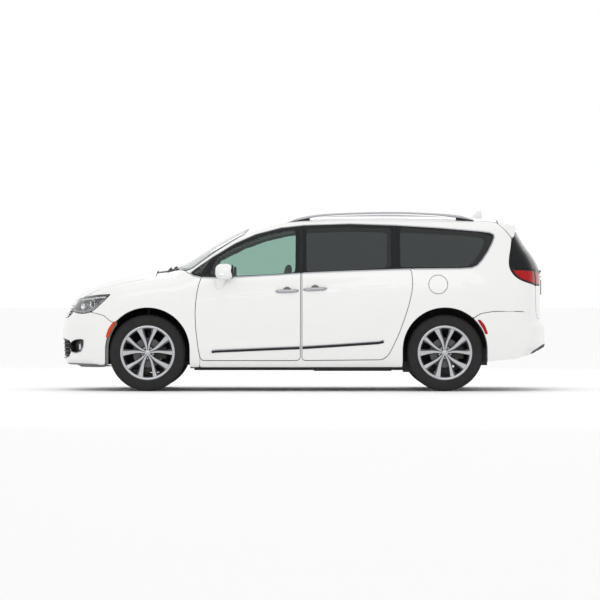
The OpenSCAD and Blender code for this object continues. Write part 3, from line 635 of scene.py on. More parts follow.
UNDER = material("underbody_coat", (0.035, 0.035, 0.036), 0.8, second=(0.055, 0.052, 0.05),
                 patch=(7, 0.5), grain=(260, 0.9), spread=0.1)
EXHAUST = material("exhaust_steel", (0.36, 0.35, 0.33), 0.38, metal=1.0, second=(0.24, 0.19, 0.14),
                   patch=(5, 0.6), grain=(500, 0.2))
TANK = material("tank_plastic", (0.030, 0.031, 0.033), 0.5, grain=(400, 0.4))
LINER = material("liner_felt", (0.014, 0.014, 0.014), 0.9, second=(0.022, 0.021, 0.02),
                 patch=(20, 0.5), grain=(900, 1.0), sheen=0.2)
CABIN = material("cabin_plastic", (0.060, 0.060, 0.062), 0.6, second=(0.050, 0.049, 0.05),
                 grain=(1300, 0.5), spread=0.07)
CLOTH = material("seat_leather", (0.075, 0.073, 0.072), 0.5, second=(0.058, 0.056, 0.055),
                 patch=(12, 0.4), grain=(750, 0.8), sheen=0.15)
THREAD = material("stitching", (0.42, 0.41, 0.39), 0.7, grain=(2500, 0.8))
CARPET = material("headliner", (0.24, 0.24, 0.235), 0.9, second=(0.20, 0.20, 0.195), patch=(30, 0.4),
                  grain=(2000, 1.0), sheen=0.3)
MIRROR = material("mirror_glass", (0.86, 0.88, 0.90), 0.02, metal=1.0, grain=(1, 0), spread=0.01)
SCREEN_DARK = material("display", (0.008, 0.010, 0.014), 0.06, coat=0.6, grain=(1, 0), spread=0.02)


# ---------------------------------------------------------------- seams, shared by both neighbours
ARCH_FRONT, ARCH_REAR, ARCH_Z, ARCH_R = -1597, 1438, 422, 430
DOOR_FRONT_EDGE = [(-1046, 1163), (-1072, 1095), (-1094, 995), (-1106, 885), (-1110, 790),
                   (-1104, 640), (-1082, 450), (-1058, 330)]
FRONT_DOOR = DOOR_FRONT_EDGE + [(-1040, 312), (-50, 312), (-38, 326), (-33, 1691), (-190, 1668),
                                (-356, 1633), (-617, 1541), (-905, 1396)]
SLIDING_DOOR = [(-21, 326), (-12, 312), (800, 320), (862, 366), (921, 482), (973, 598), (1025, 741),
                (1071, 884), (1100, 1015), (1109, 1105), (1096, 1243), (932, 1243), (930, 1693),
                (471, 1707), (200, 1704), (-21, 1692)]
DOOR_WINDOW = [(-962, 1197), (-860, 1186), (-718, 1182), (-400, 1194), (-92, 1215), (-88, 1652),
               (-200, 1636), (-356, 1604), (-617, 1511), (-780, 1432), (-880, 1370)]
SLIDING_WINDOW = [(28, 1222), (500, 1245), (885, 1262), (885, 1664), (471, 1674), (28, 1664)]
QUARTER_WINDOW = [(985, 1268), (1600, 1272), (1700, 1280), (1753, 1300), (1799, 1336), (1863, 1425),
                  (1912, 1520), (1925, 1583), (1900, 1600), (1780, 1618), (1599, 1636), (985, 1668)]
SAIL_WINDOW = [(-1122, 1204), (-1056, 1194), (-962, 1345)]
CHROME_TOP = [(-1166, 1203), (-1100, 1254), (-936, 1368), (-707, 1509), (-497, 1603), (-233, 1672),
              (0, 1698), (471, 1713), (942, 1698), (1400, 1670), (1801, 1636), (1905, 1622),
              (1945, 1602), (1948, 1570), (1925, 1510), (1880, 1425), (1819, 1336), (1770, 1283),
              (1713, 1258), (1600, 1250), (1118, 1246)]
CHROME_TIP = [(-1166, 1203), (-1130, 1178), (-1056, 1162)]
BELT_FRONT = [(-1034, 1160), (-900, 1156), (-718, 1162), (-450, 1176), (-250, 1187), (-38, 1202)]
BELT_SLIDING = [(-14, 1204), (200, 1214), (500, 1226), (800, 1236), (1096, 1246)]
HOOD_SIDE = [(-1516, 742), (-1800, 728), (-2100, 690), (-2210, 650), (-2280, 560)]
HOOD_NOSE = [(-2346, 400), (-2384, 200), (-2390, 0)]
LAMP_TOP = [(-2311, 957), (-2230, 968), (-2120, 983), (-1975, 990)]
LAMP_LOW = [(-1975, 990), (-2040, 925), (-2120, 850), (-2178, 808), (-2261, 790), (-2330, 796),
            (-2399, 818)]
BUMPER_SEAM = [(-2178, 806), (-2045, 775), (-1962, 704)]
GATE_SIDE = [(1990, 1714), (2060, 1655), (2130, 1566), (2118, 1472), (2100, 1380), (2094, 1300),
             (2104, 1245), (2143, 1184), (2190, 1148), (2235, 1126), (2300, 1104), (2372, 1087)]
GATE_BACK = [(724, 1070), (722, 1000), (700, 800), (640, 745)]
REAR_SEAM = [(2240, 812), (2080, 816), (1926, 813), (1800, 792), (1722, 742)]
A_PILLAR = [(-1190, 1211), (-1120, 1178), (-1058, 1163)]
SCREEN = [(-1326, 0), (-1318, 200), (-1300, 400), (-1260, 620), (-1215, 760), (-1150, 852),
          (-900, 795), (-610, 712), (-580, 500), (-569, 250), (-566, 0)]


def wheel_arch(x, start, end):
    return arc(x, ARCH_Z, ARCH_R, ARCH_R, start, end)


# ---------------------------------------------------------------- front panels
door_ring = loop(("side", FRONT_DOOR))
slide_ring = loop(("side", SLIDING_DOOR))
window_ring = loop(("side", DOOR_WINDOW), rounds=7)
slide_window_ring = loop(("side", SLIDING_WINDOW), rounds=9)
quarter_ring = loop(("side", QUARTER_WINDOW), rounds=7)
sail_ring = loop(("side", SAIL_WINDOW), rounds=3)
glass_band = loop(("side", CHROME_TOP + BELT_SLIDING[::-1] + BELT_FRONT[::-1] + CHROME_TIP[1:-1][::-1]),
                  rounds=2)

fender_ring = loop(("top", HOOD_SIDE), ("side", LAMP_TOP), ("side", LAMP_LOW[:4]), ("side", BUMPER_SEAM),
                   ("side", wheel_arch(ARCH_FRONT, 139, 0)), ("side", [(-1167, 422), (-1167, 248)]),
                   ("side", [(-1150, 244), (-1064, 244)]), ("side", DOOR_FRONT_EDGE[::-1]),
                   ("side", A_PILLAR[::-1]),
                   ("top", [(-1216, 790), (-1226, 760), (-1267, 640), (-1288, 540)]),
                   ("top", [(-1400, 540), (-1512, 540), (-1514, 730)]), rounds=3)
for side, mirror in SIDES:
    panel(f"fender_{side}", BARREL, [fender_ring], 0, 6, [PAINT, INNER_STEEL_AND_SHADE], "root",
          mirror=mirror, grid=26, node="front_fenders" if mirror else None)
hood_ring = half_loop(("top", [(-1516, 0), (-1516, 742)] + HOOD_SIDE[1:] + HOOD_NOSE), rounds=4)
panel("bonnet", BARREL, [hood_ring], 0, 24, [PAINT, INNER_STEEL_AND_SHADE], "hood_lid", grid=34, gap=4,
      node="hood")

bumper_ring = half_loop(("top", HOOD_NOSE[::-1]), ("side", [(-2311, 950), (-2399, 818)]),
                        ("side", LAMP_LOW[::-1][:-3]), ("side", BUMPER_SEAM),
                        ("side", wheel_arch(ARCH_FRONT, 139, 180)), ("side", [(-2027, 400), (-2027, 268)]),
                        ("front", [(860, 264), (400, 262), (0, 262)]), rounds=4)
UPPER_GRILLE = [(0, 742), (300, 748), (430, 756), (520, 800), (500, 868), (300, 872), (0, 872)]
LOWER_GRILLE = [(0, 330), (400, 336), (520, 350), (600, 420), (560, 512), (400, 528), (0, 540)]
FOG = [(-2405, 396), (-2424, 450), (-2398, 500), (-2350, 524), (-2258, 530), (-2262, 470), (-2284, 410),
       (-2340, 388)]
upper_grille, lower_grille = [half_loop(("front", outline)) for outline in (UPPER_GRILLE, LOWER_GRILLE)]
fog_ring = loop(("side", FOG))
bumper_holes = [upper_grille, lower_grille, fog_ring, fog_ring * [1, -1, 1]]
panel("front_bumper_cover", FRONT, [bumper_ring, *bumper_holes], 0, 8, [PAINT, INNER_STEEL_AND_SHADE], "root",
      grid=30, node="front_bumper")

# ---------------------------------------------------------------- doors
for side, mirror in SIDES:
    panel(f"front_door_{side}_skin", BARREL, [door_ring, window_ring], 0, 28, [PAINT, CABIN, BLACK],
          f"front_{side}_door", mirror=mirror, grid=22, zones=[(glass_band, 2)],
          node=f"front_door_{side}")
    panel(f"front_door_{side}_glass", BARREL, [window_ring], 5, 9, [GREEN, GREEN], f"front_{side}_door",
          mirror=mirror, grid=60, gap=-4, roll=0, node=f"door_glass_{side}")
    panel(f"sliding_door_{side}_skin", BARREL, [slide_ring, slide_window_ring], 0, 28, [PAINT, CABIN, BLACK],
          "root", mirror=mirror, grid=22, zones=[(glass_band, 2)],
          node=f"sliding_door_{side}")
    panel(f"sliding_door_{side}_pane", BARREL, [slide_window_ring], 4, 8, [TINT, TINT], "root",
          mirror=mirror, grid=60, gap=-4, roll=0, node="sliding_door_glass")
    panel(f"quarter_pane_{side}", BARREL, [quarter_ring], 3, 8, [TINT, TINT], "root",
          mirror=mirror, grid=60, gap=-4, roll=0, node="side_glass")
    panel(f"sail_pane_{side}", BARREL, [sail_ring], 3, 7, [GREEN, GREEN], "root",
          mirror=mirror, grid=60, gap=-2, roll=0)

# ---------------------------------------------------------------- body sides, roof and rear
side_ring = loop(("side", [(-1064, 244), (1008, 244)]), ("side", [(1008, 270), (1008, 420)]),
                 ("side", wheel_arch(ARCH_REAR, 180, 49)), ("side", REAR_SEAM[::-1]),
                 ("back", GATE_BACK[::-1]), ("side", GATE_SIDE[::-1]), ("top", [(1985, 640), (-590, 640)]),
                 ("top", [(-612, 716), (-900, 800), (-1150, 860), (-1214, 792)]), ("side", A_PILLAR),
                 rounds=3)
fuel_ring = loop(("side", arc(1368, 1090, 96, 96, 0, 356)), rounds=1)

for side, mirror in SIDES:
    holes = [door_ring, slide_ring, quarter_ring, sail_ring] + ([fuel_ring] if mirror else [])
    panel(f"body_side_{side}_skin", BARREL, [side_ring, *holes], 0, 10, [PAINT, INNER_STEEL_AND_SHADE, BLACK],
          "root", mirror=mirror, grid=26, zones=[(glass_band, 2)],
          node=f"body_side_{side}")
    # The inner sides are dark grey: painted shade for the hollow body seen through the openings and the
    # arches.
    inner_holes = [shrink(BARREL, door_ring, 38), shrink(BARREL, slide_window_ring, -16),
                   shrink(BARREL, quarter_ring, -8), shrink(BARREL, sail_ring, -4)]
    panel(f"inner_side_{side}", BARREL, [shrink(BARREL, side_ring, 8), *inner_holes], 32, 36,
          [INNER_STEEL_AND_SHADE, CABIN], "root", mirror=mirror, grid=50, gap=0, roll=0)
panel("fuel_flap_disc", BARREL, [fuel_ring], 0, 6, [PAINT, INNER_STEEL_AND_SHADE], "fuel_flap",
      mirror=True, grid=24, gap=2, node="fuel_door")
backing("fuel_pocket", BARREL, fuel_ring, 12, 70, 24, mirror=True)

roof_ring = half_loop(("top", [(-563, 0), (-577, 500), (-594, 640), (1985, 640), (1985, 0)]), rounds=4)
panel("roof_skin", BARREL, [roof_ring], 0, 8, [PAINT, CARPET], "root", grid=40,
      node="roof_panel")
backing("roof_flange", BARREL, roof_ring, 26, 26, 10)
screen_ring = half_loop(("top", SCREEN), rounds=3)
panel("windshield_pane", BARREL, [screen_ring], 1, 6, [FRIT, FRIT, SCREEN_GLASS], "root",
      grid=50, gap=2, roll=1, zones=[(shrink(BARREL, screen_ring, 42), 2)], through=True, node="windshield")
cowl_ring = half_loop(("top", [(-1520, 0), (-1520, 544), (-1284, 544), (-1302, 400), (-1320, 200),
                               (-1328, 0)]), rounds=2)
panel("cowl_tray", BARREL, [cowl_ring], 14, 20, [TRIM, TRIM], "root", grid=40, roll=1,
      node="cowl_panel")
backing("hood_flange", BARREL, hood_ring, 22, 34, 34)
backing("nose_flange", FRONT, bumper_ring, 20, 24, 14)

# ---------------------------------------------------------------- rear
spoiler_edge = [(2186, 0), (2184, 300), (2176, 560)]
spoiler_ring = half_loop(("top", [(1994, 0), (1994, 640)]),
                         ("side", [(1996, 1710), (2064, 1654), (2134, 1568)]),
                         ("side", [(2160, 1590), (2172, 1640)]), ("top", spoiler_edge[::-1]), rounds=2)
panel("spoiler_top", BARREL, [spoiler_ring], 0, 34, [PAINT, PAINT], "liftgate_body", grid=26,
      gap=0.5, roll=1, node="liftgate")
spoiler_low = half_loop(("top", spoiler_edge), ("back", [(575, 1690), (560, 1640), (0, 1646)]), rounds=2)
panel("spoiler_back", BACK, [spoiler_low], 0, 30, [PAINT, PAINT], "liftgate_body", grid=26,
      gap=0.5, roll=1)
gate_ring = half_loop(("back", [(0, 746), (640, 746), (700, 800), (722, 1000), (724, 1082), (470, 1082),
                                (462, 1186), (0, 1192)]), rounds=3)
panel("liftgate_skin", BACK, [gate_ring], 0, 30, [PAINT, CABIN], "liftgate_body", grid=30,
      gap=4)
gate_lamp_ring = loop(("back", [(472, 1086), (722, 1086), (722, 1236), (560, 1222), (466, 1190)]), rounds=3)
rear_glass_ring = half_loop(("back", [(0, 1196), (462, 1196), (560, 1230), (722, 1242)]),
                            ("side", [(2250, 1252), (2163, 1254), (2108, 1256), (2096, 1300), (2102, 1380),
                                      (2120, 1472), (2134, 1560)]),
                            ("side", [(2164, 1590)]), ("back", [(560, 1634), (0, 1640)]), rounds=2)
window_zone = loop(("back", [(0, 1225), (520, 1240), (600, 1290), (585, 1540), (540, 1600), (0, 1612),
                             (-540, 1600), (-585, 1540), (-600, 1290), (-520, 1240)]), rounds=4)
panel("rear_glass", BACK, [rear_glass_ring], 1, 7, [FRIT, FRIT, TINT], "liftgate_body",
      grid=40, gap=3, roll=2, zones=[(window_zone, 2)], through=True, node="liftgate_glass")
tail_ring = loop(("side", [(2108, 1250), (2143, 1184), (2190, 1148), (2235, 1126), (2300, 1104),
                           (2372, 1087)]),
                 ("back", [(728, 1086), (728, 1238)]), ("side", [(2250, 1248), (2163, 1250)]), rounds=2)
back_bumper_ring = half_loop(("back", [(0, 742), (640, 742), (700, 796)]), ("side", REAR_SEAM),
                             ("side", wheel_arch(ARCH_REAR, 48, 0)), ("side", [(1868, 400), (1868, 308)]),
                             ("side", [(1880, 304), (2164, 328), (2380, 392)]),
                             ("back", [(600, 404), (0, 404)]), rounds=3)
valance = loop(("back", [(-820, 380), (820, 380), (760, 452), (600, 476), (-600, 476), (-760, 452)]))
panel("rear_bumper_cover", BACK, [back_bumper_ring], 0, 8, [PAINT, INNER_STEEL_AND_SHADE, TRIM], "root",
      grid=26, zones=[(valance, 2)], node="rear_bumper")
for side, mirror in SIDES:
    tail_piece = panel(f"tail_lamp_{side}", BACK, [tail_ring], 0, 14, [BLACK, BEZEL, RED], "root",
                       mirror=mirror, grid=20, gap=2, zones=[(shrink(BACK, tail_ring, 16), 2)])
    gate_piece = panel(f"gate_lamp_{side}", BACK, [gate_lamp_ring], 0, 14, [BLACK, BEZEL, RED],
                       "liftgate_body", mirror=mirror, grid=20, gap=2,
                       zones=[(shrink(BACK, gate_lamp_ring, 12), 2)])
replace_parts(tail_piece, "tail_lamps")
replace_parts(gate_piece, "liftgate_lamps")
gate_flange_ring = half_loop(("back", [(0, 746), (640, 746), (700, 800), (724, 1082), (724, 1240)]),
                             ("side", [(2108, 1256), (2120, 1472), (2134, 1560)]),
                             ("back", [(560, 1620), (0, 1640)]), rounds=2)
backing("gate_flange", BACK, gate_flange_ring, 20, 44, 40)

# ---------------------------------------------------------------- lamps and grilles at the front
PROJECTOR = [(0, -42), (36, -42), (40, -30), (44, -12), (41, -10), (36, -16), (30, -30), (0, -32)]
PROJECTOR_LENS = [(0, -30), (29, -28), (29, -18), (24, -11), (14, -7), (0, -5)]
BEAM_BOWL = [(0, -44), (30, -44), (37, -24), (34, -22), (24, -34), (0, -38)]
HEADLAMP_AIM = (-0.80, 0.60, 0)
HEADLAMP_STRIPE = [(-2372, 826), (-2262, 806), (-2180, 826), (-2110, 880), (-2040, 948)]
HEADLAMP_BROW = [(-2290, 940), (-2200, 950), (-2110, 962), (-2030, 966)]
FOG_BOWL = [(0, -36), (34, -36), (37, -20), (40, -17), (36, -15), (30, -24), (0, -28)]
FOG_LENS = [(0, -26), (31, -24), (30, -19), (16, -15), (0, -14)]
FOG_AIM = (-1, 0.3, 0)
FOG_TRIM = [(-2405, 430), (-2392, 398), (-2340, 386), (-2286, 404), (-2262, 450), (-2255, 520)]
lamp_ring = loop(("side", LAMP_TOP), ("side", LAMP_LOW[1:]), rounds=3)


def headlamp(side, mirror):
    """A clear lens over a dark pocket with a projector, a beam bowl and two bright strips."""
    lens = panel(f"headlamp_lens_{side}", FRONT, [lamp_ring], 1.5, 4.5, [LENS, LENS], "root",
                 mirror=mirror, grid=24, gap=2.5, roll=1, through=True)
    pocket(f"headlamp_{side}", lamp_ring, 58, BEZEL, BLACK, mirror, start=5)
    optics = Parts()
    at = below_skin(on_side([(-2180, 896)]), 6)[0]
    optics.sweep(turned(PROJECTOR, at, HEADLAMP_AIM), 0)
    optics.sweep(turned(PROJECTOR_LENS, at, HEADLAMP_AIM), 1)
    optics.sweep(turned(BEAM_BOWL, below_skin(on_front([(640, 868)]), 8)[0], HEADLAMP_AIM), 0)
    strip(optics, below_skin(side_line(HEADLAMP_STRIPE, 16), 16), 14, 8, 2)
    strip(optics, below_skin(side_line(HEADLAMP_BROW, 16), 20), 16, 9, 0)
    optics.object(f"headlamp_optics_{side}", [REFLECTOR, BLACK, CHROME], "root", "chrome_trim", mirror=mirror)
    return lens


def fog_lamp(side, mirror):
    pocket(f"fog_{side}", fog_ring, 46, MESH, TRIM, mirror, start=2, edge=5)
    lamp = Parts()
    at = below_skin(on_side([(-2318, 450)]), 6)[0]
    lamp.sweep(turned(FOG_BOWL, at, FOG_AIM), 0)
    lamp.sweep(turned(FOG_LENS, at, FOG_AIM), 1)
    strip(lamp, side_line(FOG_TRIM, 10), 9, 4, 2)
    return lamp.object(f"fog_lamp_{side}", [REFLECTOR, LENS, CHROME], "root", "lamp_clear", mirror=mirror)


for side, mirror in SIDES:
    headlamp_piece = headlamp(side, mirror)
    fog_piece = fog_lamp(side, mirror)
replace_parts(headlamp_piece, "headlamps")
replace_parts(fog_piece, "fog_lamps")


def grille(name, ring, rows, bar_width, bar_kind, reach):
    """Level bars at some heights, with upright ones behind them out to a reach."""
    pocket(f"grille_{name}", ring, 40, MESH, TRIM, start=3, edge=5)
    bars = Parts()
    for row in rows:
        at_row = ring[np.abs(ring[:, 2] - row) < 12]
        edge = float(np.max(np.abs(at_row[:, 1]))) - 14
        line = on_front([(y, row) for y in np.linspace(-edge, edge, 60)])
        strip(bars, below_skin(line, 15), bar_width, 8, bar_kind, sink=8)
    for y in np.linspace(-480, 480, 33):
        if abs(y) < reach:
            line = on_front([(y, z) for z in np.linspace(rows[0] - 18, rows[-1] + 12, 6)])
            strip(bars, below_skin(line, 24), 5, 6, 1, sink=6)
    return bars.object(f"grille_{name}_bars", [CHROME, MESH], "root", "chrome_trim")


grille_piece = grille("upper", upper_grille, (772, 800, 828, 852), 11, 0, 430)
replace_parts(grille_piece, "grille")
grille("lower", lower_grille, (366, 404, 442, 480, 512), 9, 1, 500)

# ---------------------------------------------------------------- trims along the sides
MARKER_FRONT = [(-1916, 715), (-1944, 712), (-1996, 640), (-2024, 556), (-2018, 541), (-1990, 545),
                (-1978, 590), (-1940, 655)]
MARKER_REAR = [(1763, 732), (1795, 734), (1840, 680), (1877, 592), (1872, 578), (1846, 582), (1828, 630),
               (1790, 690)]
MOULDING_FRONT = [(-940, 408), (-900, 414), (-480, 432), (-45, 449)]
MOULDING_SLIDE = [(-14, 450), (380, 474), (760, 500), (812, 512)]
HANDLE_SECTION = [(1.2, 0), (0.9, 0.6), (0, 1), (-0.9, 0.6), (-1.1, 0), (-0.9, -0.6), (0, -1), (0.9, -0.6)]
HANDLE_CUP = [(44, 0.5), (42, 2), (36, 0.8), (20, -2.5), (0.1, -3.5)]


def ribbon(name, points, body, mirror):
    """A slim chrome moulding along points on the skin."""
    parts = Parts()
    strip(parts, points, 13, 4)
    parts.object(name, [CHROME], body, "chrome_trim", sharp=50, mirror=mirror)


def door_moulding(name, body, run, mirror):
    """A dark rubbing strip with a bright one over it."""
    line = side_line(run, 20)
    parts = Parts()
    strip(parts, line - [0, 0, 8], 24, 8, 0)
    strip(parts, line + [0, 2, 7], 12, 9, 1)
    parts.object(name, [TRIM, CHROME], body, "chrome_trim", sharp=50, mirror=mirror)


def door_handle(name, body, x0, x1, z0, z1, mirror):
    """A bowed grip over a shallow cup."""
    parts, rings = Parts(), []
    for k in range(23):
        t = k / 22
        x, z = x0 + (x1 - x0) * t, z0 + (z1 - z0) * t
        y = on_side([(x, z)])[0][1]
        arch = math.sin(math.pi * t) if 0 < t < 1 else 0
        lift, half = 26 * min(1, arch * 2.6) ** 0.6, 7 + 11 * arch ** 0.5
        rings.append([(x, y - 4 + lift + dy * 6, z + dz * half) for dy, dz in HANDLE_SECTION])
    parts.sweep(rings, 0)
    middle = on_side([((x0 + x1) / 2, (z0 + z1) / 2)])[0]
    # The cup under the grip is dark grey: painted shade.
    parts.sweep(turned(HANDLE_CUP, middle - [0, 2, 0], (0, 1, 0)), 1)
    parts.object(name, [CHROME, INNER_STEEL_AND_SHADE], body, "chrome_trim", sharp=60, mirror=mirror)


def arch_lip(name, x, front_low, rear_low, mirror):
    """A thin liner edge round a wheel arch, down to a height at each end."""
    path = [(x - ARCH_R, z) for z in (front_low, 330, 390)] + wheel_arch(x, 180, 0)
    path += [(x + ARCH_R, z) for z in (390, 330, rear_low)]
    parts, rings = Parts(), []
    for px, pz in path:
        a = math.atan2(max(pz - ARCH_Z, 0), px - x)
        dx, dz = math.cos(a), math.sin(a)
        y = on_side([(px + dx * 6, max(pz + dz * 6, 290))])[0][1] - 6
        rings.append([(px + dx * r, y - d, pz + dz * r) for r, d in ((-1, 0), (5, 0), (5, 150), (-1, 150))])
    parts.sweep(rings, 0)
    parts.object(name, [LINER], "root", "liner_plastic", sharp=50, mirror=mirror)


def door_mirror(side, mirror):
    """A rounded housing on a foot, with its glass in a dark rim and a bright strip in front."""
    head, y0, glass_z = Parts(), 1068, 1226
    shell = []
    for k in range(29):
        t = -1 + k / 14
        f = max(1 - abs(t) ** 2.6, 0.0008) ** 0.5
        shell.append([(-812 + 92 * f * bulge(math.cos(a), 0.72) + 10 * t, y0 + 72 * t,
                       1222 + (78 if math.sin(a) > 0 else 84) * f * bulge(math.sin(a), 0.72))
                      for a in circle(36)])
    head.sweep(shell, 0)
    foot = []
    for t in np.linspace(0, 1, 9):
        x, y, z = -846 - 14 * t, 1058 - 74 * t, 1150 - 104 * t ** 1.1
        foot.append([(x + (52 - 14 * t) * math.cos(a), y + 18 * math.sin(a), z + 12 * math.cos(a) * t)
                     for a in circle(24)])
    head.sweep(foot[::-1], 0)

    def oval(x, half_width, half_height):
        return [(x, y0 + half_width * math.cos(a), glass_z + half_height * math.sin(a)) for a in circle(32)]

    head.sweep([oval(x, 54 * f, 58 * f) for x, f in ((-723, 0.96), (-720, 1.0), (-719, 0.94))], 1)
    head.sweep([oval(x, 58, 62) for x in (-760, -724)], 2)
    strip_section = ((-8, -7), (1.5, -6), (3, 0), (1.5, 6), (-8, 7))
    head.sweep([[(-836 + 50 * t, 1137 - 10 * t * t + dy, 1186 + dz) for dy, dz in strip_section]
                for t in np.linspace(-1, 1, 13)], 3)
    piece = head.object(f"door_mirror_{side}_housing", [PAINT, MIRROR, TRIM, REFLECTOR],
                        f"front_{side}_door", "body_paint", sharp=42, mirror=mirror)
    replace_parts(piece, f"door_mirror_{side}")


for side, mirror in SIDES:
    door = f"front_{side}_door"
    ribbon(f"chrome_top_{side}", side_line(CHROME_TIP[::-1] + CHROME_TOP[1:], 14), "root", mirror)
    ribbon(f"chrome_belt_front_{side}", side_line(BELT_FRONT, 20), door, mirror)
    ribbon(f"chrome_belt_slide_{side}", side_line(BELT_SLIDING, 20), "root", mirror)
    door_moulding(f"door_moulding_front_{side}", door, MOULDING_FRONT, mirror)
    door_moulding(f"door_moulding_slide_{side}", "root", MOULDING_SLIDE, mirror)
    door_handle(f"door_handle_front_{side}", door, -292, -52, 1018, 1026, mirror)
    door_handle(f"door_handle_slide_{side}", "root", -10, 236, 1036, 1048, mirror)
    for end, chart, colour, spot in (("front", FRONT, AMBER, MARKER_FRONT),
                                     ("rear", BARREL, RED, MARKER_REAR)):
        panel(f"side_marker_{end}_{side}", chart, [loop(("side", spot), rounds=2)], -3, 4,
              [colour, colour], "root", mirror=mirror, grid=18, gap=0, roll=2)
    arch_lip(f"arch_lip_front_{side}", ARCH_FRONT, 270, 270, mirror)
    arch_lip(f"arch_lip_rear_{side}", ARCH_REAR, 262, 300, mirror)
    door_mirror(side, mirror)

# ---------------------------------------------------------------- roof rails, antenna and wipers
RAIL_Y = 652
rail_top = curve([(-174, 1729), (-60, 1772), (168, 1811), (500, 1829), (900, 1837), (1300, 1824),
                  (1600, 1798), (1745, 1756)])
rail_low = curve([(-174, 1722), (-40, 1750), (168, 1789), (500, 1809), (900, 1817), (1300, 1804),
                  (1600, 1770), (1745, 1744)])


def roof_rail(parts, s):
    """One rail, an oval bar that tapers to its ends, on a foot at each end."""
    bar = []
    for x in np.linspace(-172, 1743, 90):
        high, low = float(rail_top(x)), float(rail_low(x))
        z, half = (low + high) / 2, max((high - low) / 2, 3)
        bar.append([(x, s * (RAIL_Y + 13 * math.cos(s * a)), z + half * bulge(math.sin(s * a), 0.8))
                    for a in circle(20)])
    parts.sweep(bar, 0)
    for x0, x1 in ((-172, 60), (1560, 1742)):
        foot = []
        for x in np.linspace(x0, x1, 12):
            ground = float(top(x) - crown(x) * (RAIL_Y / 700) ** 2) - 10
            high = float(rail_low(x)) + 2
            foot.append([(x, s * (RAIL_Y - 14), ground), (x, s * (RAIL_Y - 11), high),
                         (x, s * (RAIL_Y + 11), high), (x, s * (RAIL_Y + 14), ground)][::s])
        parts.sweep(foot, 1)


def antenna():
    fin, rings = Parts(), []
    for t in np.linspace(0, 1, 14):
        x0, x1, half = 1702 + 112 * t ** 0.72, 1864 - 12 * t, 12 * (1 - 0.72 * t)
        ring = []
        for a in circle(28):
            back = (1 - math.cos(a)) / 2
            y = half * bulge(math.sin(a), 0.8) * (0.55 + 0.45 * back)
            ring.append((x0 + (x1 - x0) * back, y, 1768 + 92 * t))
        rings.append(ring)
    fin.sweep(rings, 0)
    return fin.object("antenna_fin", [PAINT], "root", "body_paint", sharp=60)


def front_wiper(parts, y0, y1):
    """A pivot near y0, with an arm and a blade that run towards y1."""
    pivot = on_top([(-1400, y0)])[0] - [0, 0, 12]
    parts.sweep(turned([(0, -4), (15, -4), (15, 8), (11, 16), (0, 17)], pivot, (0, 0, 1)), 0)
    arm = on_top([(-1398 + 20 * t, y0 + (y1 - y0) * 0.62 * t) for t in np.linspace(0, 1, 14)])
    strip(parts, arm + [0, 0, 10], 11, 6, 0)
    blade = on_top([(-1352 + 34 * math.sin(math.pi * t), y0 + 60 + (y1 - y0) * 1.02 * t)
                    for t in np.linspace(0, 1, 26)])
    strip(parts, blade + [0, 0, 4], 9, 9, 0)


def back_wiper():
    parts = Parts()
    hub = [(0, -2), (17, -2), (16, 10), (10, 15), (0, 16)]
    parts.sweep(turned(hub, on_back([(0, 1212)])[0], (1, 0, 0.3)), 0)
    blade = on_back([(-t * 330, 1214 + 20 * t) for t in np.linspace(0, 1, 20)])
    strip(parts, blade + [6, 0, 0], 12, 9, 0)
    parts.object("rear_wiper", [TRIM], "liftgate_body", "black_trim", sharp=50)


rails = Parts()
for s in (-1, 1):
    roof_rail(rails, s)
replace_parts(rails.object("roof_rail_bars", [RAIL, TRIM], "root", "rail_metal", sharp=50), "roof_rails")
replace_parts(antenna(), "roof_antenna")
wipers = Parts()
for y0, y1 in ((-520, 60), (160, 690)):
    front_wiper(wipers, y0, y1)
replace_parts(wipers.object("wiper_arms", [TRIM], "root", "black_trim", sharp=50), "windscreen_wipers")
back_wiper()
brow = Parts()
strip(brow, on_back([(y, 1172) for y in np.linspace(-300, 300, 30)]), 20, 7, 0)
brow.object("liftgate_brow", [CHROME], "liftgate_body", "chrome_trim", sharp=50)

# ---------------------------------------------------------------- wheels
# Profiles are pairs of radius and distance outwards from the middle of the wheel.
TRACK, AXLE_Z = 830, 392.0
SHOULDER = [(256, 98), (268, 104), (279, 113), (290, 117), (303, 118.5), (306, 121), (312, 121), (340, 122.4),
            (362, 121), (376, 116), (385, 108), (389, 98), (391, 84), (391.4, 72)]
TREAD = [(391.5, 64.5), (384, 63.5), (384, 53), (391.8, 52), (392, 28.5), (384.5, 27.5), (384.5, 17),
         (392, 16)]
TYRE_RING = SHOULDER + TREAD + [(r, -o) for r, o in (SHOULDER + TREAD)[::-1]]
BARREL_RING = [(238, -110), (274, -111), (277, -105), (262, -99), (255, -90), (255, 84), (262, 97),
               (270, 101), (262, 104), (250, 98), (241, 84), (238, 60)]
LIP_RING = [(277.5, 104), (277.5, 112), (272, 114.5), (262, 114), (254, 109), (249, 101), (249, 94),
            (256, 98), (268, 103)]
HUB = [(0.1, 56), (60, 56), (70, 62), (69, 74), (60, 80), (36, 82), (0.1, 82)]
CAP = [(0.1, 80), (31, 80), (33, 88), (30, 92), (24, 91), (20, 94), (9, 96.5), (0.1, 97)]
BRAKE_DISC = [(44, -30), (152, -30), (154, -19), (152, -8), (44, -8)]
DISC_HAT = [(0.1, -9), (80, -9), (76, 40), (66, 57), (0.1, 57)]
NUT = [(0, 0), (12.5, 0), (12.5, 3), (9.5, 5), (9.5, 13), (6.5, 17), (0, 17.5)]
SPOKE_STEPS = (34, 52, 70, 90, 115, 145, 175, 205, 230, 250, 264)
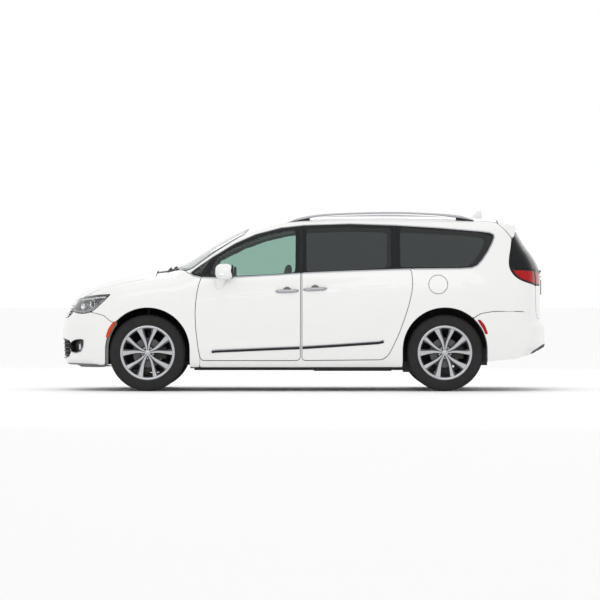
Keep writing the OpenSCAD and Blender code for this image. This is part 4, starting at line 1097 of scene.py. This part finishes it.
# Across a spoke: share of its half width, and depth under its face.
SPOKE_CORE = ((-1, 8), (-0.8, 1), (0.8, 1), (1, 8), (0.8, 44), (-0.8, 44))
SPOKE_FACE = ((-0.5, 2), (-0.44, -0.6), (0.78, -0.6), (0.84, 2))
along_spoke = curve([(34, 7), (52, 9.5), (80, 13.5), (110, 21), (160, 40), (210, 61), (264, 81.6)])
spoke_width = curve([(34, 11), (80, 15), (120, 20), (180, 26), (230, 34), (264, 44)])
spoke_face = curve([(34, 88), (60, 88), (110, 92), (180, 98), (230, 104), (264, 108)])


def tyre(label, centre, s, body):
    """A tyre whose shoulders are notched all round."""
    parts = Parts()
    points, faces = lathe(TYRE_RING, centre, s, 180)
    for i in range(len(points)):
        k, j = divmod(i, len(TYRE_RING))
        r, o = TYRE_RING[j]
        if 84 <= abs(o) <= 117 and r > 375 and k % 5 == 0:
            p = np.array(points[i])
            out = (p - centre) * [1, 0, 1]
            points[i] = tuple(p - out / np.linalg.norm(out) * 5)
    parts.add(points, faces)
    piece = parts.object(f"tyre_{label}_rubber", [RUBBER], body, "tyre_rubber", sharp=32)
    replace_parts(piece, f"tyre_{label}")


def rim(label, centre, s, body):
    """A ten-spoke wheel with its hub, cap, nuts and brake disc. Spokes come in pairs that spread."""
    parts = Parts()
    parts.add(*lathe(BARREL_RING, centre, s, 96), 2)
    parts.add(*lathe(LIP_RING, centre, s, 96), 0)

    def fifth(degrees, k):
        a = math.radians(degrees + 72 * k)
        return a if s < 0 else math.pi - a

    def place(r, a, t, o):
        """Along a radius at an angle, across it, and outwards."""
        ca, sa = math.cos(a), math.sin(a)
        return (centre[0] + r * ca - t * sa, centre[1] + s * o, centre[2] + r * sa + t * ca)

    for k in range(5):
        middle = fifth(18, k)
        for turn in (-1, 1):
            for section, kind in ((SPOKE_CORE, 1), (SPOKE_FACE, 0)):
                rings = []
                for r in SPOKE_STEPS:
                    aside = float(along_spoke(r))
                    run, w, f = math.sqrt(r * r - aside * aside), float(spoke_width(r)), float(spoke_face(r))
                    rings.append([place(run - turn * 0.30 * w * b, middle, turn * (aside + w * b), f - d)
                                  for b, d in section])
                parts.sweep(rings, kind)
    for profile, kind in ((HUB, 1), (CAP, 0), (BRAKE_DISC, 4), (DISC_HAT, 5)):
        parts.add(*lathe(profile, centre, s, 72), kind)
    for k in range(5):
        parts.sweep(turned(NUT, place(56, fifth(54, k), 0, 79), (0, s, 0), 6), 3)
    piece = parts.object(f"wheel_{label}_rim", [ALLOY, POCKET, BARREL_METAL, CHROME, DISC, CAST], body,
                         "wheel_alloy", sharp=30)
    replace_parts(piece, f"wheel_{label}")


for end, x in (("front", ARCH_FRONT), ("rear", ARCH_REAR)):
    for side, s in (("left", -1), ("right", 1)):
        centre = np.array([x, s * TRACK, AXLE_Z])
        tyre(f"{end}_{side}", centre, s, f"{end}_{side}_wheel")
        rim(f"{end}_{side}", centre, s, f"{end}_{side}_wheel")

# ---------------------------------------------------------------- seats and cabin
FLOOR_TOP = 300
CUSHION = [(-278, 95), (-258, 60), (60, 48), (180, 56), (206, 100), (178, 146), (60, 152), (-60, 166),
           (-225, 178), (-274, 148)]
BACKREST = [(190, 150), (250, 350), (330, 622), (350, 650), (404, 654), (417, 628), (370, 360), (300, 64),
            (262, 58), (208, 106)]
HEADREST = [(352, 690), (356, 790), (374, 838), (404, 850), (436, 826), (428, 700), (392, 676), (362, 676)]


def pillow(name, outline, x, y, z, width, groove, node=None):
    """A crowned, closed pad whose sides pull in, with two sewn channels and piping."""
    p = smooth_loop([(a, 0.0, b) for a, b in outline], 4, 18)
    middle = p.mean(0)
    parts, rings = Parts(), []
    for t in np.linspace(-1, 1, 45):
        v = math.copysign(1 - (1 - abs(t)) ** 1.7, t)
        f = max(1 - abs(v) ** 7, 1e-4) ** (1 / 3)
        sewn = 0.05 * math.exp(-((abs(v) - groove) / 0.035) ** 2) if groove else 0
        size = f * (1 + 0.035 * (1 - v * v) - sewn) * 0.985
        rings.append([(x + a, y + v * width / 2, z + c) for a, _, c in middle + (p - middle) * size])
    parts.sweep(rings, 0)
    for v in (-groove, groove) if groove else ():
        parts.sweep(piping(middle, p, x, y + v * width / 2, z), 1, closed=True)
    piece = parts.object(name, [CLOTH, THREAD], "root", "seat_cover", sharp=80)
    if node:
        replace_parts(piece, node)


def piping(middle, outline, x, y, z, radius=2.4):
    """Rings of a thin tube round a pad's outline."""
    tube = []
    for a, _, c in middle + (outline - middle) * 0.985:
        out = np.array([a - middle[0], 0, c - middle[2]])
        out /= max(np.linalg.norm(out), 1e-9)
        tube.append([(x + a + out[0] * radius * math.cos(q), y + radius * math.sin(q),
                      z + c + out[2] * radius * math.cos(q)) for q in circle(6)])
    return tube


def seat(name, x, y, width, base, node=None):
    z = FLOOR_TOP + base
    pillow(name + "_cushion", CUSHION, x, y, z, width, 0.62, node)
    pillow(name + "_backrest", BACKREST, x, y, z, width, 0.62)
    pillow(name + "_headrest", HEADREST, x, y, z, min(280, width * 0.7), 0)
    parts = Parts()
    parts.box((x - 178, y - width / 2 + 62, FLOOR_TOP + 1), (x + 238, y + width / 2 - 62, z + 58), 0, 18)
    for dy in (-62, 62):
        parts.sweep(turned([(6, 0), (6, 60)], (x + 384, y + dy, z + 634), (0.12, 0, 1), 12), 1)
    parts.object(name + "_frame", [CABIN, CHROME], "root", "cabin_trim")


def dashboard_details():
    """An instrument hood, a display, air vents, two cup holders and a selector."""
    parts = Parts()
    parts.box((-1010, -590, 1090), (-892, -230, 1158), 0, 22)
    parts.box((-915, -150, 955), (-890, 150, 1108), 1, 8)
    parts.box((-892, -138, 968), (-887, 138, 1096), 2, 3)
    for y in (-640, -205, 205, 640):
        parts.box((-912, y - 48, 1004), (-894, y + 48, 1052), 1, 8)
        for z in (1014, 1026, 1038):
            parts.box((-895, y - 40, z), (-890, y + 40, z + 4), 3, 1)
    for y in (-50, 50):
        cup = [(0, 0), (34, 0), (38, 6), (34, 10), (28, 4), (0, 3)]
        parts.sweep(turned(cup, (-955, y, 762), (0, 0, 1)), 3)
    selector = [(0, 0), (16, 0), (18, 34), (26, 52), (20, 70), (0, 74)]
    parts.sweep(turned(selector, (-1010, 0, 760), (0.1, 0, 1)), 0)
    parts.object("dashboard_details", [CABIN, TRIM, SCREEN_DARK, CHROME], "root", "cabin_trim")


def rear_view_mirror():
    parts = Parts()
    parts.box((-690, -118, 1500), (-662, 118, 1566), 0, 12)
    parts.box((-662, -110, 1506), (-659, 110, 1560), 1, 2)
    parts.sweep(turned([(9, 0), (12, 60)], (-680, 0, 1550), (-0.25, 0, 1), 16), 0)
    parts.object("rear_view_mirror", [TRIM, MIRROR], "root", "cabin_trim")


def engine_cover():
    """A ribbed cover with an oil cap, on top of the engine block."""
    parts = Parts()
    parts.box((-1960, -300, 936), (-1500, 300, 986), 0, 24)
    for y in np.linspace(-220, 220, 6):
        parts.box((-1920, y - 14, 984), (-1540, y + 14, 998), 0, 6)
    cap = [(0, 0), (38, 0), (40, 14), (30, 20), (0, 20)]
    parts.sweep(turned(cap, (-1900, -200, 985), (0, 0, 1)), 1)
    parts.object("engine_cover", [TRIM, CAST], "root", "cast_metal")


def wheel_well_walls():
    """Inner walls that close each wheel well towards the middle of the body."""
    parts = Parts()
    for x, y in ((ARCH_FRONT, 470), (ARCH_REAR, 655)):
        outline = [(x - 446, FLOOR_TOP)] + arc(x, ARCH_Z, 446, 440, 180, 0, 6) + [(x + 446, FLOOR_TOP)]
        for s in (-1, 1):
            parts.sweep([[(a, s * (y + d), b) for a, b in outline] for d in (0, 6)], 0)
    parts.object("wheel_well_walls", [LINER], "root", "liner_plastic", sharp=50)


def bulkhead():
    """A wall between the engine bay and the cabin."""
    half = [(-1165, 930, 1010), (-1180, 850, 1070), (-1195, 765, 1100), (-1240, 640, 1100),
            (-1290, 400, 1100)]
    path = half + [(-1302, 0, 1100)] + [(x, -y, high) for x, y, high in half[::-1]]
    parts = Parts()
    parts.sweep([[(x, y, 700), (x + 6, y, 700), (x + 6, y, high), (x, y, high)] for x, y, high in path], 0)
    parts.object("bulkhead", [LINER], "root", "liner_plastic", sharp=50)


for row, x, node in (("front", -560, "front_seats"), ("middle", 480, "middle_seats")):
    for side, y in (("left", -410), ("right", 410)):
        seat(f"{row}_seat_{side}", x, y, 520, 160, node if side == "left" else None)
for k, y in enumerate((-407, 0, 407)):
    seat(f"rear_seat_{k + 1}", 1480, y, 404, 180, "rear_bench" if k == 0 else None)
dashboard_details()
rear_view_mirror()
engine_cover()

# The nodes that show as they are get a finish of their own.
FINISH = {"underbody": UNDER, "dashboard": CABIN, "engine": CAST, "front_suspension": CAST,
          "rear_suspension": CAST, "fuel_tank": TANK, "exhaust": EXHAUST, "wheel_liners": LINER,
          "plate_holder": TRIM, "steering_wheel": CLOTH, "knuckle_left": CAST, "knuckle_right": CAST}
for name, finish in FINISH.items():
    for material_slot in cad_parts[name].material_slots:
        material_slot.material = finish
wheel_well_walls()
bulkhead()

# ---------------------------------------------------------------- camera, light and floor
FLOOR_REACH = 400
camera_data = bpy.data.cameras.new("camera")
camera = bpy.data.objects.new("camera", camera_data)
bpy.context.scene.collection.objects.link(camera)
camera.location = (-0.041, -40, 0.931)
camera.rotation_euler = (math.radians(90), 0, 0)
camera_data.lens, camera_data.sensor_width = 229.7, 36
camera_data.clip_end = 900
bpy.context.scene.camera = camera


def light(name, at, look, size, power):
    data = bpy.data.lights.new(name, "AREA")
    data.shape, data.size, data.size_y, data.energy = "RECTANGLE", size[0], size[1], power
    o = bpy.data.objects.new(name, data)
    bpy.context.scene.collection.objects.link(o)
    o.location = at
    o.rotation_euler = (Vector(look) - Vector(at)).to_track_quat("-Z", "Y").to_euler()


light("overhead", (0, 0, 7.5), (0, 0, 0), (9, 6), 45)
light("left", (-1.5, -10, 5.5), (0, 0, 0.9), (9, 3.5), 110)
light("right", (1.5, 10, 5.5), (0, 0, 0.9), (9, 3.5), 90)
bpy.context.scene.view_settings.view_transform = "Standard"
world = bpy.data.worlds.new("studio")
bpy.context.scene.world = world
world.use_nodes = True
world.node_tree.nodes["Background"].inputs["Color"].default_value = (1, 1, 1, 1)
world.node_tree.nodes["Background"].inputs["Strength"].default_value = 1.0

floor_mesh = bpy.data.meshes.new("floor")
floor_corners = [(x * FLOOR_REACH, y * FLOOR_REACH, 0) for x, y in ((-1, -1), (1, -1), (1, 1), (-1, 1))]
floor_mesh.from_pydata(floor_corners, [], [(0, 1, 2, 3)])
floor = bpy.data.objects.new("floor", floor_mesh)
bpy.context.scene.collection.objects.link(floor)
floor_mesh.materials.append(material("floor", (0.955, 0.955, 0.955), 0.7, second=(0.945, 0.945, 0.945),
                                     patch=(0.6, 0.3), grain=(30, 0.01)))
